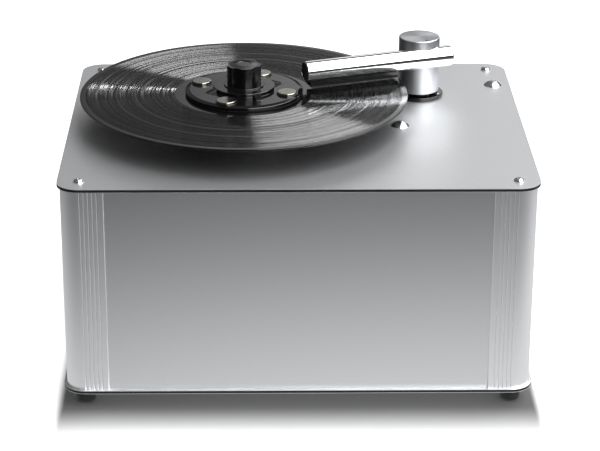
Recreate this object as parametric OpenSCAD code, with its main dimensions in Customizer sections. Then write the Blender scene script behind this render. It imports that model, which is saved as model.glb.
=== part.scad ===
// Record cleaning machine: a box of four extruded corner posts, flat panels and two
// composite plates. A record lies clamped on a small driven platter, and a suction arm
// on a turning, sprung tower reaches over it. The origin is on the floor, under the
// middle of the plates, with +Z up and the front towards -Y.

/* [Case] */
// Width of the deck and base plates
case_w = 415; // [405:1:440]
// Depth of the deck and base plates
case_d = 338; // [332:1:360]
// Thickness of the deck and base plates
plate_t = 3; // [2:0.5:4]
// How far the plates stand out past the corner posts
plate_overhang = 2.5; // [1:0.5:5]
// Radius of the plates' corners
corner_r = 20; // [14:1:24]
// Length of the corner posts
post_h = 187.4; // [180:0.2:200]
// Thickness of the four panels
panel_t = 3; // [2:0.5:4]
// How far the panels lie behind the posts' faces
panel_setback = 1.6; // [1:0.1:3]

/* [Corner posts] */
// Width of each face of a post
post_face = 38.3; // [34:0.1:42]
// Depth of the slot that holds a panel's edge
slot_depth = 7; // [4:0.5:9]
// Thickness of the lip behind a panel
back_lip_t = 1.8; // [1:0.1:3]
// Radius of the screw channel in a post
boss_r = 5.2; // [4:0.1:6]
// Thickness of the web that carries the screw channel
web_t = 3; // [2:0.5:5]
// Number of grooves along each face of a post
groove_n = 5; // [1:1:5]
// Distance between two grooves
groove_pitch = 3.65; // [2.5:0.05:3.7]
// Distance from a post's inner edge to its first groove
groove_lead = 5.6; // [3:0.1:6]
// Width of a groove at the surface
groove_w = 1.4; // [0.6:0.1:2]
// Depth of a groove
groove_depth = 0.6; // [0.3:0.1:0.8]
// Chamfer along a post's inner edges
post_edge = 0.5; // [0.3:0.1:0.8]

/* [Feet and corner screws] */
// Height of the rubber feet
foot_h = 14; // [10:0.5:20]
// Diameter of the rubber feet
foot_d = 18; // [16:0.5:24]
// Distance from the plates' edges to the corner screws and the feet
corner_inset = 19; // [17:0.5:21]
// Diameter of the corner screws' threads
screw_d = 5; // [4:0.5:6]
// Diameter of the corner screws' heads
screw_head_d = 9; // [8:0.5:11]
// Height of the corner screws' heads
screw_head_h = 2.8; // [2:0.1:4]
// Length of the corner screws below their heads
screw_len = 22; // [15:1:40]

/* [Platter and record] */
// Spindle's place across the deck, from the middle
spindle_x = -48; // [-52:0.5:-46]
// Spindle's place from front to back, from the middle
spindle_y = 12; // [9:0.5:13]
// Diameter of the spindle in its bearing
spindle_d = 10; // [8:0.5:12]
// Diameter of the spindle's pin, which fits a record's hole
pin_d = 7.1; // [6.8:0.05:7.15]
// Height of the pin's top above the deck
pin_top = 44.5; // [40:0.5:46]
// Height of the bearing's flange above the deck
bearing_flange_h = 4; // [3:0.5:6]
// Thickness of the spindle's flange under the platter
spindle_flange_t = 4; // [3:0.5:6]
// Diameter of the platter
platter_d = 112; // [90:1:130]
// Thickness of the platter
platter_h = 12; // [10:0.5:15]
// Thickness of the rubber mat
mat_t = 2.2; // [1.5:0.1:3]
// Diameter of a record
record_d = 301; // [299:0.5:303]
// Thickness of a record's rim
rim_t = 1.9; // [1.5:0.1:2.5]
// Thickness of a record between rim and label
groove_t = 1.5; // [1.2:0.1:1.5]
// Thickness of a record at the label, without the paper
label_zone_t = 2.2; // [1.8:0.1:2.4]
// Width of the bead along a record's rim
rim_w = 5; // [3:0.5:7]
// Diameter of a record's label
label_d = 100; // [95:1:100]
// Thickness of the label's paper
label_t = 0.15; // [0.1:0.05:0.3]
// Diameter of the hole in a record
record_hole_d = 7.24; // [7.2:0.01:7.4]

/* [Record clamp] */
// Diameter of the clamp's disc
clamp_d = 108; // [106:0.5:109]
// Height of the seal ring under the disc
seal_t = 0.8; // [0.6:0.1:1.2]
// Width of the seal ring
seal_w = 3; // [2:0.5:4]
// Height of the disc's outer edge
clamp_rim_h = 2.7; // [2:0.1:3.5]
// Height of the disc's flat top above its underside
clamp_top_h = 3.7; // [3.2:0.1:5]
// Width of the slope from the disc's edge up to its flat top
clamp_slope_w = 4; // [2:0.5:6]
// Diameter of the raised hub
hub_d = 56.6; // [52:0.2:58]
// Height of the raised hub above the disc's underside
hub_h = 7.1; // [6:0.1:9]
// Diameter of the step round the knob
step_d = 37; // [34:0.5:42]
// Height of the step above the hub
step_h = 1.1; // [0.5:0.1:2]
// Number of sloping ribs round the hub
rib_n = 4; // [3:1:6]
// Angle of the first rib
rib_angle = 23; // [10:1:35]
// Width of a rib
rib_w = 6.6; // [4:0.2:9]
// How far a rib reaches out from the hub
rib_reach = 9; // [5:0.5:12]
// Number of metal discs in the clamp
disc_n = 4; // [3:1:6]
// Angle of the first metal disc
disc_angle = 68; // [60:1:76]
// Diameter of a metal disc
disc_d = 18; // [14:0.5:18.5]
// Radius of the circle on which the metal discs lie
disc_pitch_r = 42.3; // [40:0.1:42.5]
// Width of the raised seat round a metal disc
seat_w = 1.1; // [0.6:0.1:1.5]
// Height of the raised seat above the clamp's flat top
seat_rise = 0.4; // [0.2:0.1:0.8]
// Height of a metal disc above the clamp's flat top
disc_rise = 2.3; // [1:0.1:3]
// Depth to which a metal disc is let in
disc_depth = 1.5; // [1:0.1:2.5]
// Outer diameter of the collet that grips the pin
collet_d = 12; // [11:0.5:13]
// Diameter of the knob
knob_d = 31.6; // [28:0.2:34]
// Height of the knob
knob_h = 18.4; // [16:0.2:24]
// Number of flutes round the knob
flute_n = 5; // [3:1:8]
// Angle of the first flute
flute_angle = -43; // [-60:1:60]
// Depth of a flute
flute_depth = 2.2; // [1:0.1:2.5]
// Radius of a flute's curve
flute_r = 10; // [6:0.5:14]
// Diameter of the dish in the knob's top
dish_d = 12.4; // [8:0.2:16]
// Depth of the dish in the knob's top
dish_depth = 0.6; // [0.3:0.1:1]

/* [Tower] */
// Tower's place across the deck, from the middle
tower_x = 117; // [116:0.5:119]
// Tower's place from front to back, from the middle
tower_y = 76.5; // [75:0.5:78]
// Diameter of the tower's head
tower_d = 38.4; // [37:0.1:40]
// Gap between the deck and the tower's head, arm raised
tower_gap = 5.7; // [5.6:0.1:7]
// Height of the tower's top above the deck, arm raised
tower_top = 58; // [55:0.5:62]
// Outer diameter of the tower's hollow shaft
shaft_d = 20; // [18:0.5:21]
// Wall of the tower's hollow shaft
shaft_wall = 2; // [1.5:0.1:3]
// Wall of the sleeve in which the shaft slides
sleeve_wall = 3.9; // [3.5:0.1:4.2]
// Length of the sleeve below the deck's top
sleeve_len = 52; // [40:1:60]
// Diameter of the sleeve's flange
sleeve_flange_d = 34; // [32:0.5:36]
// Outer diameter of the housing that holds the sleeve
housing_d = 40; // [38.5:0.5:42]
// Diameter of the black collar on the deck
collar_d = 46.8; // [45:0.2:52]
// Height of the black collar
collar_h = 3.5; // [3:0.1:3.5]
// How far the arm is drawn down when suction is on
arm_travel = 1.8; // [1:0.1:1.9]
// Thickness of the lift spring's wire
spring_wire_d = 1.6; // [1:0.1:2]
// Number of turns of the lift spring
spring_turns = 5; // [3:1:6]

/* [Suction arm] */
// Outer diameter of the arm's tube
arm_d = 19.8; // [19:0.1:21]
// Wall of the arm's tube
arm_wall = 1.5; // [1:0.1:2]
// Distance of the tube's axis from the tower's axis
arm_offset = 14.2; // [13:0.1:15]
// Height of the tube's axis above the deck, arm raised
arm_z = 40.6; // [40:0.1:42]
// Turn of the arm from the case's long side
arm_angle = 19.5; // [18:0.5:20]
// Reach of the arm from the tower's axis to its tip
arm_reach = 121; // [110:0.5:121]
// Length of the arm behind the tower's axis
arm_tail = 25.8; // [22:0.2:32]
// Thickness of the nozzle bar under the tube
bar_t = 1.9; // [1.5:0.1:2.2]
// Thickness of the felt strips
felt_t = 2.2; // [1.5:0.1:2.2]
// Width of the suction slot
suction_w = 2.4; // [2:0.1:3]
// Length of the suction slot
suction_len = 82; // [60:1:82]
// Distance from the arm's tip to the suction slot
suction_lead = 7; // [5:0.5:9]

/* [Waste tank] */
// Place of the front deck bolt, across the deck
bolt_1x = 94.6; // [94:0.2:97]
// Place of the front deck bolt, from the deck's rear edge
bolt_1y = 179.4; // [178:0.2:183]
// Place of the rear deck bolt, from the deck's right edge
bolt_2x = 16.7; // [16.5:0.2:17.5]
// Place of the rear deck bolt, from the deck's rear edge
bolt_2y = 65.4; // [61:0.2:74]
// Diameter of the deck bolts' domed heads
dome_d = 17; // [15:0.5:19]
// Height of the deck bolts' domed heads
dome_h = 4.2; // [3:0.1:5]
// Diameter of the deck bolts' shanks
bolt_d = 8; // [6:0.5:8]
// Thickness of the tank's lid
lid_t = 12; // [10:0.5:14]
// Thickness of the tank's gasket
gasket_t = 1.5; // [1:0.1:2]
// Width of the tank
tank_w = 95; // [94:0.5:95.5]
// Length of the tank from front to back
tank_l = 123; // [121:0.5:123]
// Depth of the tank
tank_h = 120; // [110:1:130]
// Wall of the tank
tank_wall = 3; // [2:0.5:3.5]
// Thickness of the tank's fastening ears
ear_t = 8; // [6:0.5:12]

/* [Suction fan] */
// Fan's place across the case, from the deck's left edge
fan_x = 77.5; // [72.5:1:82.5]
// Fan's and hose's place from front to back, from the deck's rear edge
fan_y = 81; // [77:1:85]
// Diameter of the fan's case
fan_d = 110; // [100:1:112]
// Height of the fan's case
fan_h = 40; // [34:1:46]
// Diameter of the fan's motor
fan_motor_d = 84; // [70:1:96]
// Height of the fan's motor
fan_motor_h = 55; // [45:1:60]
// Diameter of the fan's wheel
wheel_d = 90; // [76:1:92]
// Number of blades on the fan's wheel
blade_n = 8; // [6:1:12]
// Height of the hose above the floor
hose_z = 165; // [163:1:168]
// Bore of the suction hose
hose_bore = 28; // [24:1:30]
// Wall of the suction hose
hose_wall = 2.4; // [2:0.1:3]
// Radius of the hose's bend
hose_bend_r = 38; // [34:1:40]

/* [Drive] */
// Side of the square gearbox
gearbox_w = 60; // [50:1:64]
// Height of the gearbox
gearbox_h = 30; // [26:1:36]
// Diameter of the drive motor
motor_d = 52; // [40:1:56]
// Length of the drive motor
motor_h = 68; // [55:1:75]
// Diameter of the gearbox's output shaft
output_d = 8; // [6:0.5:9]
// Length of the bracket's pillars
pillar_len = 50; // [48:1:54]
// Thickness of the bracket's plate
bracket_t = 4; // [3:0.5:5]
// Distance between the bracket's pillars
pillar_pitch = 70; // [68:1:74]
// Diameter of the shaft coupling
coupling_d = 20; // [18:0.5:26]
// Length of the shaft coupling
coupling_len = 18; // [16:0.5:19]

/* [Switches, inlet and drain] */
// Place of the front rocker switch, from the deck's front edge
switch_y = 69; // [65:1:71]
// Distance between the two rocker switches
switch_pitch = 32; // [30:1:40]
// Height of the rocker switches above the floor
switch_z = 165; // [150:1:175]
// Tilt of a rocker at each end of its travel
rocker_tilt = 10; // [6:1:10]
// Mains inlet's place across the case, from the deck's left edge
inlet_x = 107.5; // [97.5:1:147.5]
// Mains inlet's height above the floor
inlet_z = 48; // [42:1:50]
// Drain's place across the case, from the deck's right edge
drain_x = 57.5; // [52.5:1:62.5]
// Bore of the drain
drain_bore = 9; // [6:0.5:9]
// Number of vent slots in the rear panel
vent_n = 9; // [4:1:10]

/* [Control board] */
// Width of the control board
board_w = 110; // [90:1:120]
// Depth of the control board
board_d = 78; // [60:1:80]
// Board's place across the case, from the deck's left edge
board_x = 87.5; // [82.5:1:92.5]
// Board's place from front to back, from the deck's front edge
board_y = 74; // [69:1:74]
// Height of the board's spacers
spacer_h = 8; // [5:0.5:12]

/* [Fits] */
// Gap all round a shaft that turns or slides in its bore
run_fit = 0.06; // [0.03:0.01:0.1]
// Gap all round a fixed screw, sleeve or plug in its hole
loose_fit = 0.05; // [0.03:0.01:0.1]

/* [Hidden] */
$fn = 96;

// Small overlap that keeps a cut clean through a face
eps = 0.5;

// Levels above the floor
z_base = foot_h;
z_floor = z_base + plate_t;
z_roof = z_floor + post_h;
z_deck = z_roof + plate_t;

// Posts and panels
post_x = case_w / 2 - plate_overhang;
post_y = case_d / 2 - plate_overhang;
post_r = corner_r - plate_overhang;
boss = corner_inset - plate_overhang;
panel_x = post_x - panel_setback;
panel_y = post_y - panel_setback;
leg_t = panel_setback + panel_t + loose_fit + back_lip_t;
edge_gap = 0.3;
panel_reach = slot_depth - edge_gap - post_face;
screw_x = case_w / 2 - corner_inset;
screw_y = case_d / 2 - corner_inset;
screw_hole_r = screw_d / 2 + loose_fit;

// Platter, record and clamp, stacked up from the deck
z_spindle_flange = z_deck + bearing_flange_h;
z_platter = z_spindle_flange + spindle_flange_t;
z_mat = z_platter + platter_h;
z_label = z_mat + mat_t;
z_record = z_label + label_t + label_zone_t / 2;
z_seal = z_record + groove_t / 2;
z_clamp = z_seal + seal_t;
z_hub = z_clamp + hub_h;
z_knob = z_hub + step_h;
z_pin_top = z_deck + pin_top;
spindle_r = spindle_d / 2;
pin_r = pin_d / 2;
seal_r = clamp_d / 2 - 0.5;
bearing_r = spindle_r + 9;
bearing_len = 28;
spindle_flange_r = spindle_r + 11;
collet_flange_r = collet_d / 2 + 2.5;
collet_flange_t = 1.2;
collet_top = z_pin_top + 1;
knob_wall_top = 3;

// Tower and arm
shaft_r = shaft_d / 2;
sleeve_in_r = shaft_r + run_fit;
sleeve_r = sleeve_in_r + sleeve_wall;
housing_in_r = sleeve_r + run_fit;
housing_r = housing_d / 2;
sleeve_flange_t = 2;
flange_recess = 0.3;
thrust_gap = 0.05;
sleeve_rise = 1;
collar_in_r = sleeve_r + 0.4;
z_sleeve_low = z_deck - sleeve_len;
z_head = z_deck + tower_gap;
z_head_top = z_deck + tower_top;
z_arm = z_deck + arm_z;
arm_r = arm_d / 2;
arm_bore_r = arm_r - arm_wall;
z_shaft_top = z_arm - arm_r - 1;
spring_r = sleeve_in_r + sleeve_wall / 2;
spring_low = z_deck + sleeve_rise;
spring_high = z_deck + 20;
clip_t = 1.5;
z_shaft_low = z_sleeve_low - clip_t - 4;
key_w = 2;
key_depth = 0.9;

// Tank, hose and fan
flange_r = housing_r + 4.5;
ear_r = 10;
bolt_1 = [bolt_1x, case_d / 2 - bolt_1y];
bolt_2 = [case_w / 2 - bolt_2x, case_d / 2 - bolt_2y];
tank_x0 = tower_x - flange_r - tank_wall - 1.4;
tank_y0 = bolt_1[1] + ear_r - 0.6;
tank_x1 = tank_x0 + tank_w;
tank_y1 = tank_y0 + tank_l;
z_lid = z_roof - lid_t;
z_tank_rim = z_lid - gasket_t;
z_tank = z_tank_rim - tank_h;
tank_floor = 4;
flange_t = 5;
nozzle_wall = 2;
hose_in_r = hose_bore / 2 + loose_fit;
hose_r = hose_in_r + hose_wall;
nozzle_len = 18;
fan_at = [fan_x - case_w / 2, case_d / 2 - fan_y];
z_fan = z_floor + fan_motor_h;
z_fan_top = z_fan + fan_h;
fan_wall = 3;

// Drive
z_gearbox_top = z_roof - pillar_len - bracket_t;
z_motor_top = z_gearbox_top - gearbox_h;
output_r = output_d / 2;
output_sunk = 15;
z_coupling = z_gearbox_top + bracket_t + 5;
z_shaft_meet = z_coupling + coupling_len / 2;

// Rocker switches
bezel_t = 1.4;
housing_w = 20;
housing_h = 30;
bezel_w = 24;
bezel_h = 34;
rocker_r = 13.1;
rocker_gap = 0.3;
rocker_w = 15.4;
pivot_x = panel_x - 6;
housing_deep = 23;
switch_at_y = switch_y - case_d / 2;

// Drain and inlet
drain_at_x = case_w / 2 - drain_x;
drain_z = z_tank + tank_floor + drain_bore / 2 + 5;
drain_r = drain_bore / 2 + 2;
port_flange_t = 2.5;
bung_t = 1.5;
inlet_at_x = inlet_x - case_w / 2;
inlet_w = 47;
inlet_h = 26;
inlet_flange_t = 2.8;
inlet_deep = 28;
socket_w = 24.5;
socket_h = 16.5;
socket_deep = 18;

// Board
board_t = 1.6;
block_h = 11;
row_w = 10;
row_len = 80;
block_y = 14;
block_w = 10;
block_len = 20;
block_pin = 14;
transformer = [34, 30, 26];
transformer_in = 12;
relay = [20, 16, 15];
relay_x = 4;
heat_sink = [16, 30, 12];
heat_sink_x = 30;
parts_y = -20;
// Place, radius and height of each capacitor
capacitors = [[8, 8, 7, 20], [24, 22, 5, 14]];
row_pins = [34, 24];
inlet_pin = 12;
board_hole_inset = 5;
board_at = [board_x - case_w / 2, board_y - case_d / 2];
z_board = z_floor + spacer_h;

// Colours
silver = [0.74, 0.75, 0.76];
bright = [0.86, 0.86, 0.87];
black = [0.09, 0.09, 0.1];
steel = [0.62, 0.62, 0.6];

// Shapes used by several pieces

module rounded_rect(w, d, r) {
    square([w - 2 * r, d], center = true);
    square([w, d - 2 * r], center = true);
    for (sx = [-1, 1], sy = [-1, 1])
        translate([sx * (w / 2 - r), sy * (d / 2 - r)]) circle(r);
}

module ring(r_out, r_in, h) {
    difference() {
        cylinder(r = r_out, h = h);
        translate([0, 0, -eps]) cylinder(r = r_in, h = h + 2 * eps);
    }
}

// A cap cut from a sphere, with base radius r and height h
module dome(r, h) {
    ball_r = (r * r + h * h) / (2 * h);
    intersection() {
        translate([0, 0, h - ball_r]) sphere(ball_r, $fn = 128);
        cylinder(r = r + eps, h = h + eps);
    }
}

module at_corners() {
    for (sx = [-1, 1], sy = [-1, 1]) translate([sx * screw_x, sy * screw_y, 0]) children();
}

module at_spindle() {
    translate([spindle_x, spindle_y, 0]) children();
}

module at_tower() {
    translate([tower_x, tower_y, 0]) children();
}

// The arm's own frame: x along the tube with the tip at -x, origin on the tower's axis
module at_arm() {
    at_tower() rotate([0, 0, arm_angle]) children();
}

module at_bolts() {
    translate([bolt_1[0], bolt_1[1], 0]) children();
    translate([bolt_2[0], bolt_2[1], 0]) children();
}

module at_pillars() {
    at_spindle() for (sx = [-1, 1], sy = [-1, 1])
        translate([sx * pillar_pitch / 2, sy * pillar_pitch / 2, 0]) children();
}

module at_collar_screws() {
    at_tower() for (a = [-25, 95, 215]) rotate([0, 0, a])
        translate([(collar_in_r + collar_d / 2) / 2, 0, 0]) children();
}

module at_board_holes() {
    translate([board_at[0], board_at[1], 0]) for (sx = [-1, 1], sy = [-1, 1])
        translate([sx * (board_w / 2 - board_hole_inset), sy * (board_d / 2 - board_hole_inset), 0])
            children();
}

// A loom through points that lie square to each other, with a round sleeve at each bend
module bar_path(points) {
    for (i = [0 : len(points) - 2]) {
        step = points[i + 1] - points[i];
        turn = step[0] != 0 ? [0, 90, 0] : step[1] != 0 ? [-90, 0, 0] : [0, 0, 0];
        length = step[0] + step[1] + step[2];
        translate(length > 0 ? points[i] : points[i + 1]) rotate(turn)
            cylinder(r = wire_r, h = abs(length));
        if (i > 0) translate(points[i]) sphere(bend_r);
    }
}

// Case

module plate_outline() {
    rounded_rect(case_w, case_d, corner_r);
}

collar_screw_r = 1.5;
collar_screw_len = 10;
bracket_screw_r = 2;
bracket_head_r = 3.6;
bracket_head_h = 1.8;

module deck_plate() {
    color(silver) difference() {
        translate([0, 0, z_roof]) linear_extrude(plate_t) plate_outline();
        translate([0, 0, z_roof - eps]) {
            at_corners() cylinder(r = screw_hole_r, h = plate_t + 2 * eps);
            at_spindle() cylinder(r = bearing_r + loose_fit, h = plate_t + 2 * eps);
            at_tower() cylinder(r = housing_r + loose_fit, h = plate_t + 2 * eps);
            at_bolts() cylinder(r = bolt_d / 2 + loose_fit, h = plate_t + 2 * eps);
            at_pillars() cylinder(r = bracket_screw_r + loose_fit, h = plate_t + 2 * eps);
        }
        at_pillars() translate([0, 0, z_deck - bracket_head_h])
            cylinder(r = bracket_head_r + loose_fit, h = bracket_head_h + eps);
    }
}

module base_plate() {
    color(silver) difference() {
        translate([0, 0, z_base]) linear_extrude(plate_t) plate_outline();
        translate([0, 0, z_base - eps]) at_corners()
            cylinder(r = screw_hole_r, h = plate_t + 2 * eps);
    }
}

// One corner post's section, outer corner at the origin and both legs inwards
module post_section() {
    groove_at = [for (i = [0 : groove_n - 1]) post_face - groove_lead - i * groove_pitch];
    difference() {
        union() {
            square([post_face, leg_t]);
            square([leg_t, post_face]);
            translate([leg_t, leg_t]) rotate(45) translate([-2, -web_t / 2])
                square([(boss - leg_t) * sqrt(2) + 2, web_t]);
            translate([boss, boss]) circle(boss_r);
        }
        difference() {
            translate([-eps, -eps]) square(post_r + eps);
            translate([post_r, post_r]) circle(post_r);
        }
        translate([post_face - slot_depth, panel_setback - loose_fit])
            square([slot_depth + eps, panel_t + 2 * loose_fit]);
        translate([panel_setback - loose_fit, post_face - slot_depth])
            square([panel_t + 2 * loose_fit, slot_depth + eps]);
        for (g = groove_at) {
            translate([g, 0]) groove_cut();
            translate([0, g]) mirror([1, -1]) groove_cut();
        }
        inner_chamfer();
        mirror([1, -1]) inner_chamfer();
        translate([boss, boss]) circle(screw_hole_r);
    }
}

module inner_chamfer() {
    translate([post_face, 0]) polygon([
        [-post_edge - eps, -eps], [eps, -eps], [eps, post_edge + eps]
    ]);
}

module groove_cut() {
    polygon([
        [-groove_w / 2, -eps], [-groove_w / 2, 0], [0, groove_depth],
        [groove_w / 2, 0], [groove_w / 2, -eps]
    ]);
}

module post(sx, sy) {
    color(silver) translate([sx * post_x, sy * post_y, z_floor])
        mirror([sx > 0 ? 1 : 0, 0, 0]) mirror([0, sy > 0 ? 1 : 0, 0])
            linear_extrude(post_h) post_section();
}

module post_front_left() { post(-1, -1); }
module post_front_right() { post(1, -1); }
module post_rear_left() { post(-1, 1); }
module post_rear_right() { post(1, 1); }

// A panel across the case, with its outer face towards side sy
module cross_panel(sy) {
    half = post_x + panel_reach;
    low_y = sy > 0 ? panel_y - panel_t : -panel_y;
    translate([-half, low_y, z_floor]) cube([2 * half, panel_t, post_h]);
}

// A panel along the case, with its outer face towards side sx
module side_panel(sx) {
    half = post_y + panel_reach;
    low_x = sx > 0 ? panel_x - panel_t : -panel_x;
    translate([low_x, -half, z_floor]) cube([panel_t, 2 * half, post_h]);
}

module front_panel() {
    color([0.62, 0.63, 0.64]) cross_panel(-1);
}

module left_panel() {
    color([0.62, 0.63, 0.64]) side_panel(-1);
}

vent_w = 2.4;
vent_len = 46;
vent_pitch = 6;
vent_z = 70;

module rear_panel() {
    color([0.62, 0.63, 0.64]) difference() {
        cross_panel(1);
        translate([inlet_at_x - inlet_w / 2 - loose_fit, panel_y - panel_t - eps,
                   inlet_z - inlet_h / 2 - loose_fit])
            cube([inlet_w + 2 * loose_fit, panel_t + 2 * eps, inlet_h + 2 * loose_fit]);
        translate([drain_at_x, panel_y + eps, drain_z]) rotate([90, 0, 0])
            cylinder(r = drain_r + loose_fit, h = panel_t + 2 * eps);
        for (i = [0 : vent_n - 1])
            translate([fan_at[0] - vent_len / 2, panel_y - panel_t - eps, vent_z + i * vent_pitch])
                cube([vent_len, panel_t + 2 * eps, vent_w]);
    }
}

module at_switches() {
    for (i = [0, 1]) translate([pivot_x, switch_at_y + i * switch_pitch, switch_z]) children();
}

module right_panel() {
    color([0.62, 0.63, 0.64]) difference() {
        side_panel(1);
        at_switches() translate([-panel_t, -housing_w / 2 - loose_fit, -housing_h / 2 - loose_fit])
            cube([4 * panel_t, housing_w + 2 * loose_fit, housing_h + 2 * loose_fit]);
    }
}

module cross_recess(depth) {
    for (a = [45, 135]) rotate([0, 0, a])
        translate([-screw_head_d * 0.28, -0.55, -depth]) cube([screw_head_d * 0.56, 1.1, depth + eps]);
}

module corner_screw() {
    difference() {
        union() {
            dome(screw_head_d / 2, screw_head_h);
            translate([0, 0, -screw_len]) cylinder(r = screw_d / 2, h = screw_len);
        }
        translate([0, 0, screw_head_h]) cross_recess(1.8);
    }
}

foot_recess_r = screw_head_d / 2 + 0.6;
foot_recess_h = 6;
foot_chamfer = 1.2;

module feet() {
    color(black) at_corners() difference() {
        rotate_extrude() polygon([
            [0, 0], [foot_d / 2 - foot_chamfer, 0], [foot_d / 2, foot_chamfer],
            [foot_d / 2, foot_h], [0, foot_h]
        ]);
        translate([0, 0, -eps]) cylinder(r = screw_hole_r, h = foot_h + 2 * eps);
        translate([0, 0, -eps]) cylinder(r = foot_recess_r, h = foot_recess_h + eps);
    }
}

// Eight like screws: four down through the deck, four up through the feet
module corner_screws() {
    color(bright) at_corners() {
        translate([0, 0, z_deck]) corner_screw();
        translate([0, 0, foot_recess_h]) mirror([0, 0, 1]) corner_screw();
    }
}

// Drive

module gear_motor() {
    color(steel) at_spindle() translate([0, 0, z_motor_top - motor_h]) rotate_extrude() polygon([
        [0, 0], [motor_d / 2 - 3, 0], [motor_d / 2, 3], [motor_d / 2, motor_h], [0, motor_h]
    ]);
}

module gearbox() {
    color([0.5, 0.5, 0.52]) at_spindle() difference() {
        translate([-gearbox_w / 2, -gearbox_w / 2, z_motor_top])
            cube([gearbox_w, gearbox_w, gearbox_h]);
        translate([0, 0, z_gearbox_top - output_sunk])
            cylinder(r = output_r + run_fit, h = output_sunk + eps);
    }
}

pillar_r = 5;
bracket_margin = 3;
bracket_screw_len = 10;

module motor_bracket() {
    plate_w = pillar_pitch + 2 * (pillar_r + bracket_margin);
    color(steel) difference() {
        union() {
            at_spindle() translate([-plate_w / 2, -plate_w / 2, z_gearbox_top])
                cube([plate_w, plate_w, bracket_t]);
            at_pillars() translate([0, 0, z_gearbox_top])
                cylinder(r = pillar_r, h = z_roof - z_gearbox_top);
        }
        at_spindle() translate([0, 0, z_gearbox_top - eps])
            cylinder(r = output_r + 3, h = bracket_t + 2 * eps);
        at_pillars() translate([0, 0, z_roof - bracket_screw_len - 2])
            cylinder(r = bracket_screw_r + loose_fit, h = bracket_screw_len + 2 + eps);
    }
}

module bracket_screws() {
    color(steel) at_pillars() {
        translate([0, 0, z_deck - bracket_head_h]) difference() {
            cylinder(r = bracket_head_r, h = bracket_head_h);
            translate([0, 0, bracket_head_h - 1.2]) cylinder(r = 1.5, h = 2, $fn = 6);
        }
        translate([0, 0, z_roof - bracket_screw_len])
            cylinder(r = bracket_screw_r, h = bracket_screw_len + plate_t - bracket_head_h);
    }
}

module output_shaft() {
    color(bright) at_spindle() translate([0, 0, z_gearbox_top - output_sunk])
        cylinder(r = output_r, h = z_shaft_meet - z_gearbox_top + output_sunk);
}

module shaft_coupling() {
    color(silver) at_spindle() translate([0, 0, z_coupling]) difference() {
        cylinder(r = coupling_d / 2, h = coupling_len);
        translate([0, 0, -eps]) cylinder(r = output_r + loose_fit, h = coupling_len + 2 * eps);
        translate([0, 0, coupling_len / 2])
            cylinder(r = spindle_r + loose_fit, h = coupling_len / 2 + eps);
        for (z = [0.25, 0.75]) translate([0, 0, z * coupling_len]) rotate([0, 90, 0])
            cylinder(r = 1.6, h = coupling_d);
    }
}

module platter_bearing() {
    color([0.55, 0.5, 0.38]) at_spindle() difference() {
        union() {
            translate([0, 0, z_deck]) cylinder(r = bearing_r + 6, h = bearing_flange_h);
            translate([0, 0, z_deck - bearing_len]) cylinder(r = bearing_r, h = bearing_len + eps);
        }
        translate([0, 0, z_deck - bearing_len - eps])
            cylinder(r = spindle_r + run_fit, h = bearing_len + bearing_flange_h + 2 * eps);
    }
}

module spindle() {
    z_step = z_mat - 2;
    pin_round = 1.5;
    color(bright) at_spindle() rotate_extrude() polygon([
        [0, z_shaft_meet], [spindle_r, z_shaft_meet], [spindle_r, z_spindle_flange],
        [spindle_flange_r, z_spindle_flange], [spindle_flange_r, z_platter],
        [spindle_r, z_platter], [spindle_r, z_step], [pin_r, z_step],
        [pin_r, z_pin_top - pin_round], [pin_r - pin_round, z_pin_top], [0, z_pin_top]
    ]);
}

// Platter and record

module platter() {
    platter_r = platter_d / 2;
    chamfer = 1;
    hub_bore = spindle_r + loose_fit;
    color(silver) at_spindle() rotate_extrude($fn = 180) polygon([
        [hub_bore, z_platter], [platter_r - chamfer, z_platter],
        [platter_r, z_platter + chamfer], [platter_r, z_mat - chamfer],
        [platter_r - chamfer, z_mat], [hub_bore, z_mat]
    ]);
}

module platter_mat() {
    lip_top = z_record - groove_t / 2;
    color(black) at_spindle() rotate_extrude($fn = 180) polygon([
        [spindle_r + 2, z_mat], [seal_r, z_mat], [seal_r, lip_top],
        [seal_r - seal_w, lip_top], [seal_r - seal_w, z_label], [spindle_r + 2, z_label]
    ]);
}

module record() {
    rr = record_d / 2;
    lr = label_d / 2;
    hr = record_hole_d / 2;
    run = 0.4;
    bead = rim_t / 2;
    web = groove_t / 2;
    core = label_zone_t / 2;
    color(black) at_spindle() translate([0, 0, z_record]) rotate_extrude($fn = 240) polygon([
        [hr, -core], [lr, -core], [lr + run, -web],
        [rr - rim_w, -web], [rr - rim_w + run, -bead], [rr - run, -bead], [rr, -bead + run],
        [rr, bead - run], [rr - run, bead], [rr - rim_w + run, bead], [rr - rim_w, web],
        [lr + run, web], [lr, core], [hr, core]
    ]);
}

module record_labels() {
    color([0.8, 0.77, 0.68]) at_spindle() for (z = [z_label, z_record + label_zone_t / 2])
        translate([0, 0, z]) ring(label_d / 2, record_hole_d / 2, label_t);
}

// Record clamp

module clamp_rib() {
    foot_x = hub_d / 2 + rib_reach;
    sunk = 1;
    rotate([90, 0, 0]) translate([0, 0, -rib_w / 2]) linear_extrude(rib_w) polygon([
        [hub_d / 2 - 4, clamp_top_h - sunk], [foot_x, clamp_top_h - sunk],
        [foot_x, clamp_top_h], [hub_d / 2, hub_h - 0.2], [hub_d / 2 - 4, hub_h - 0.2]
    ]);
}

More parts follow.
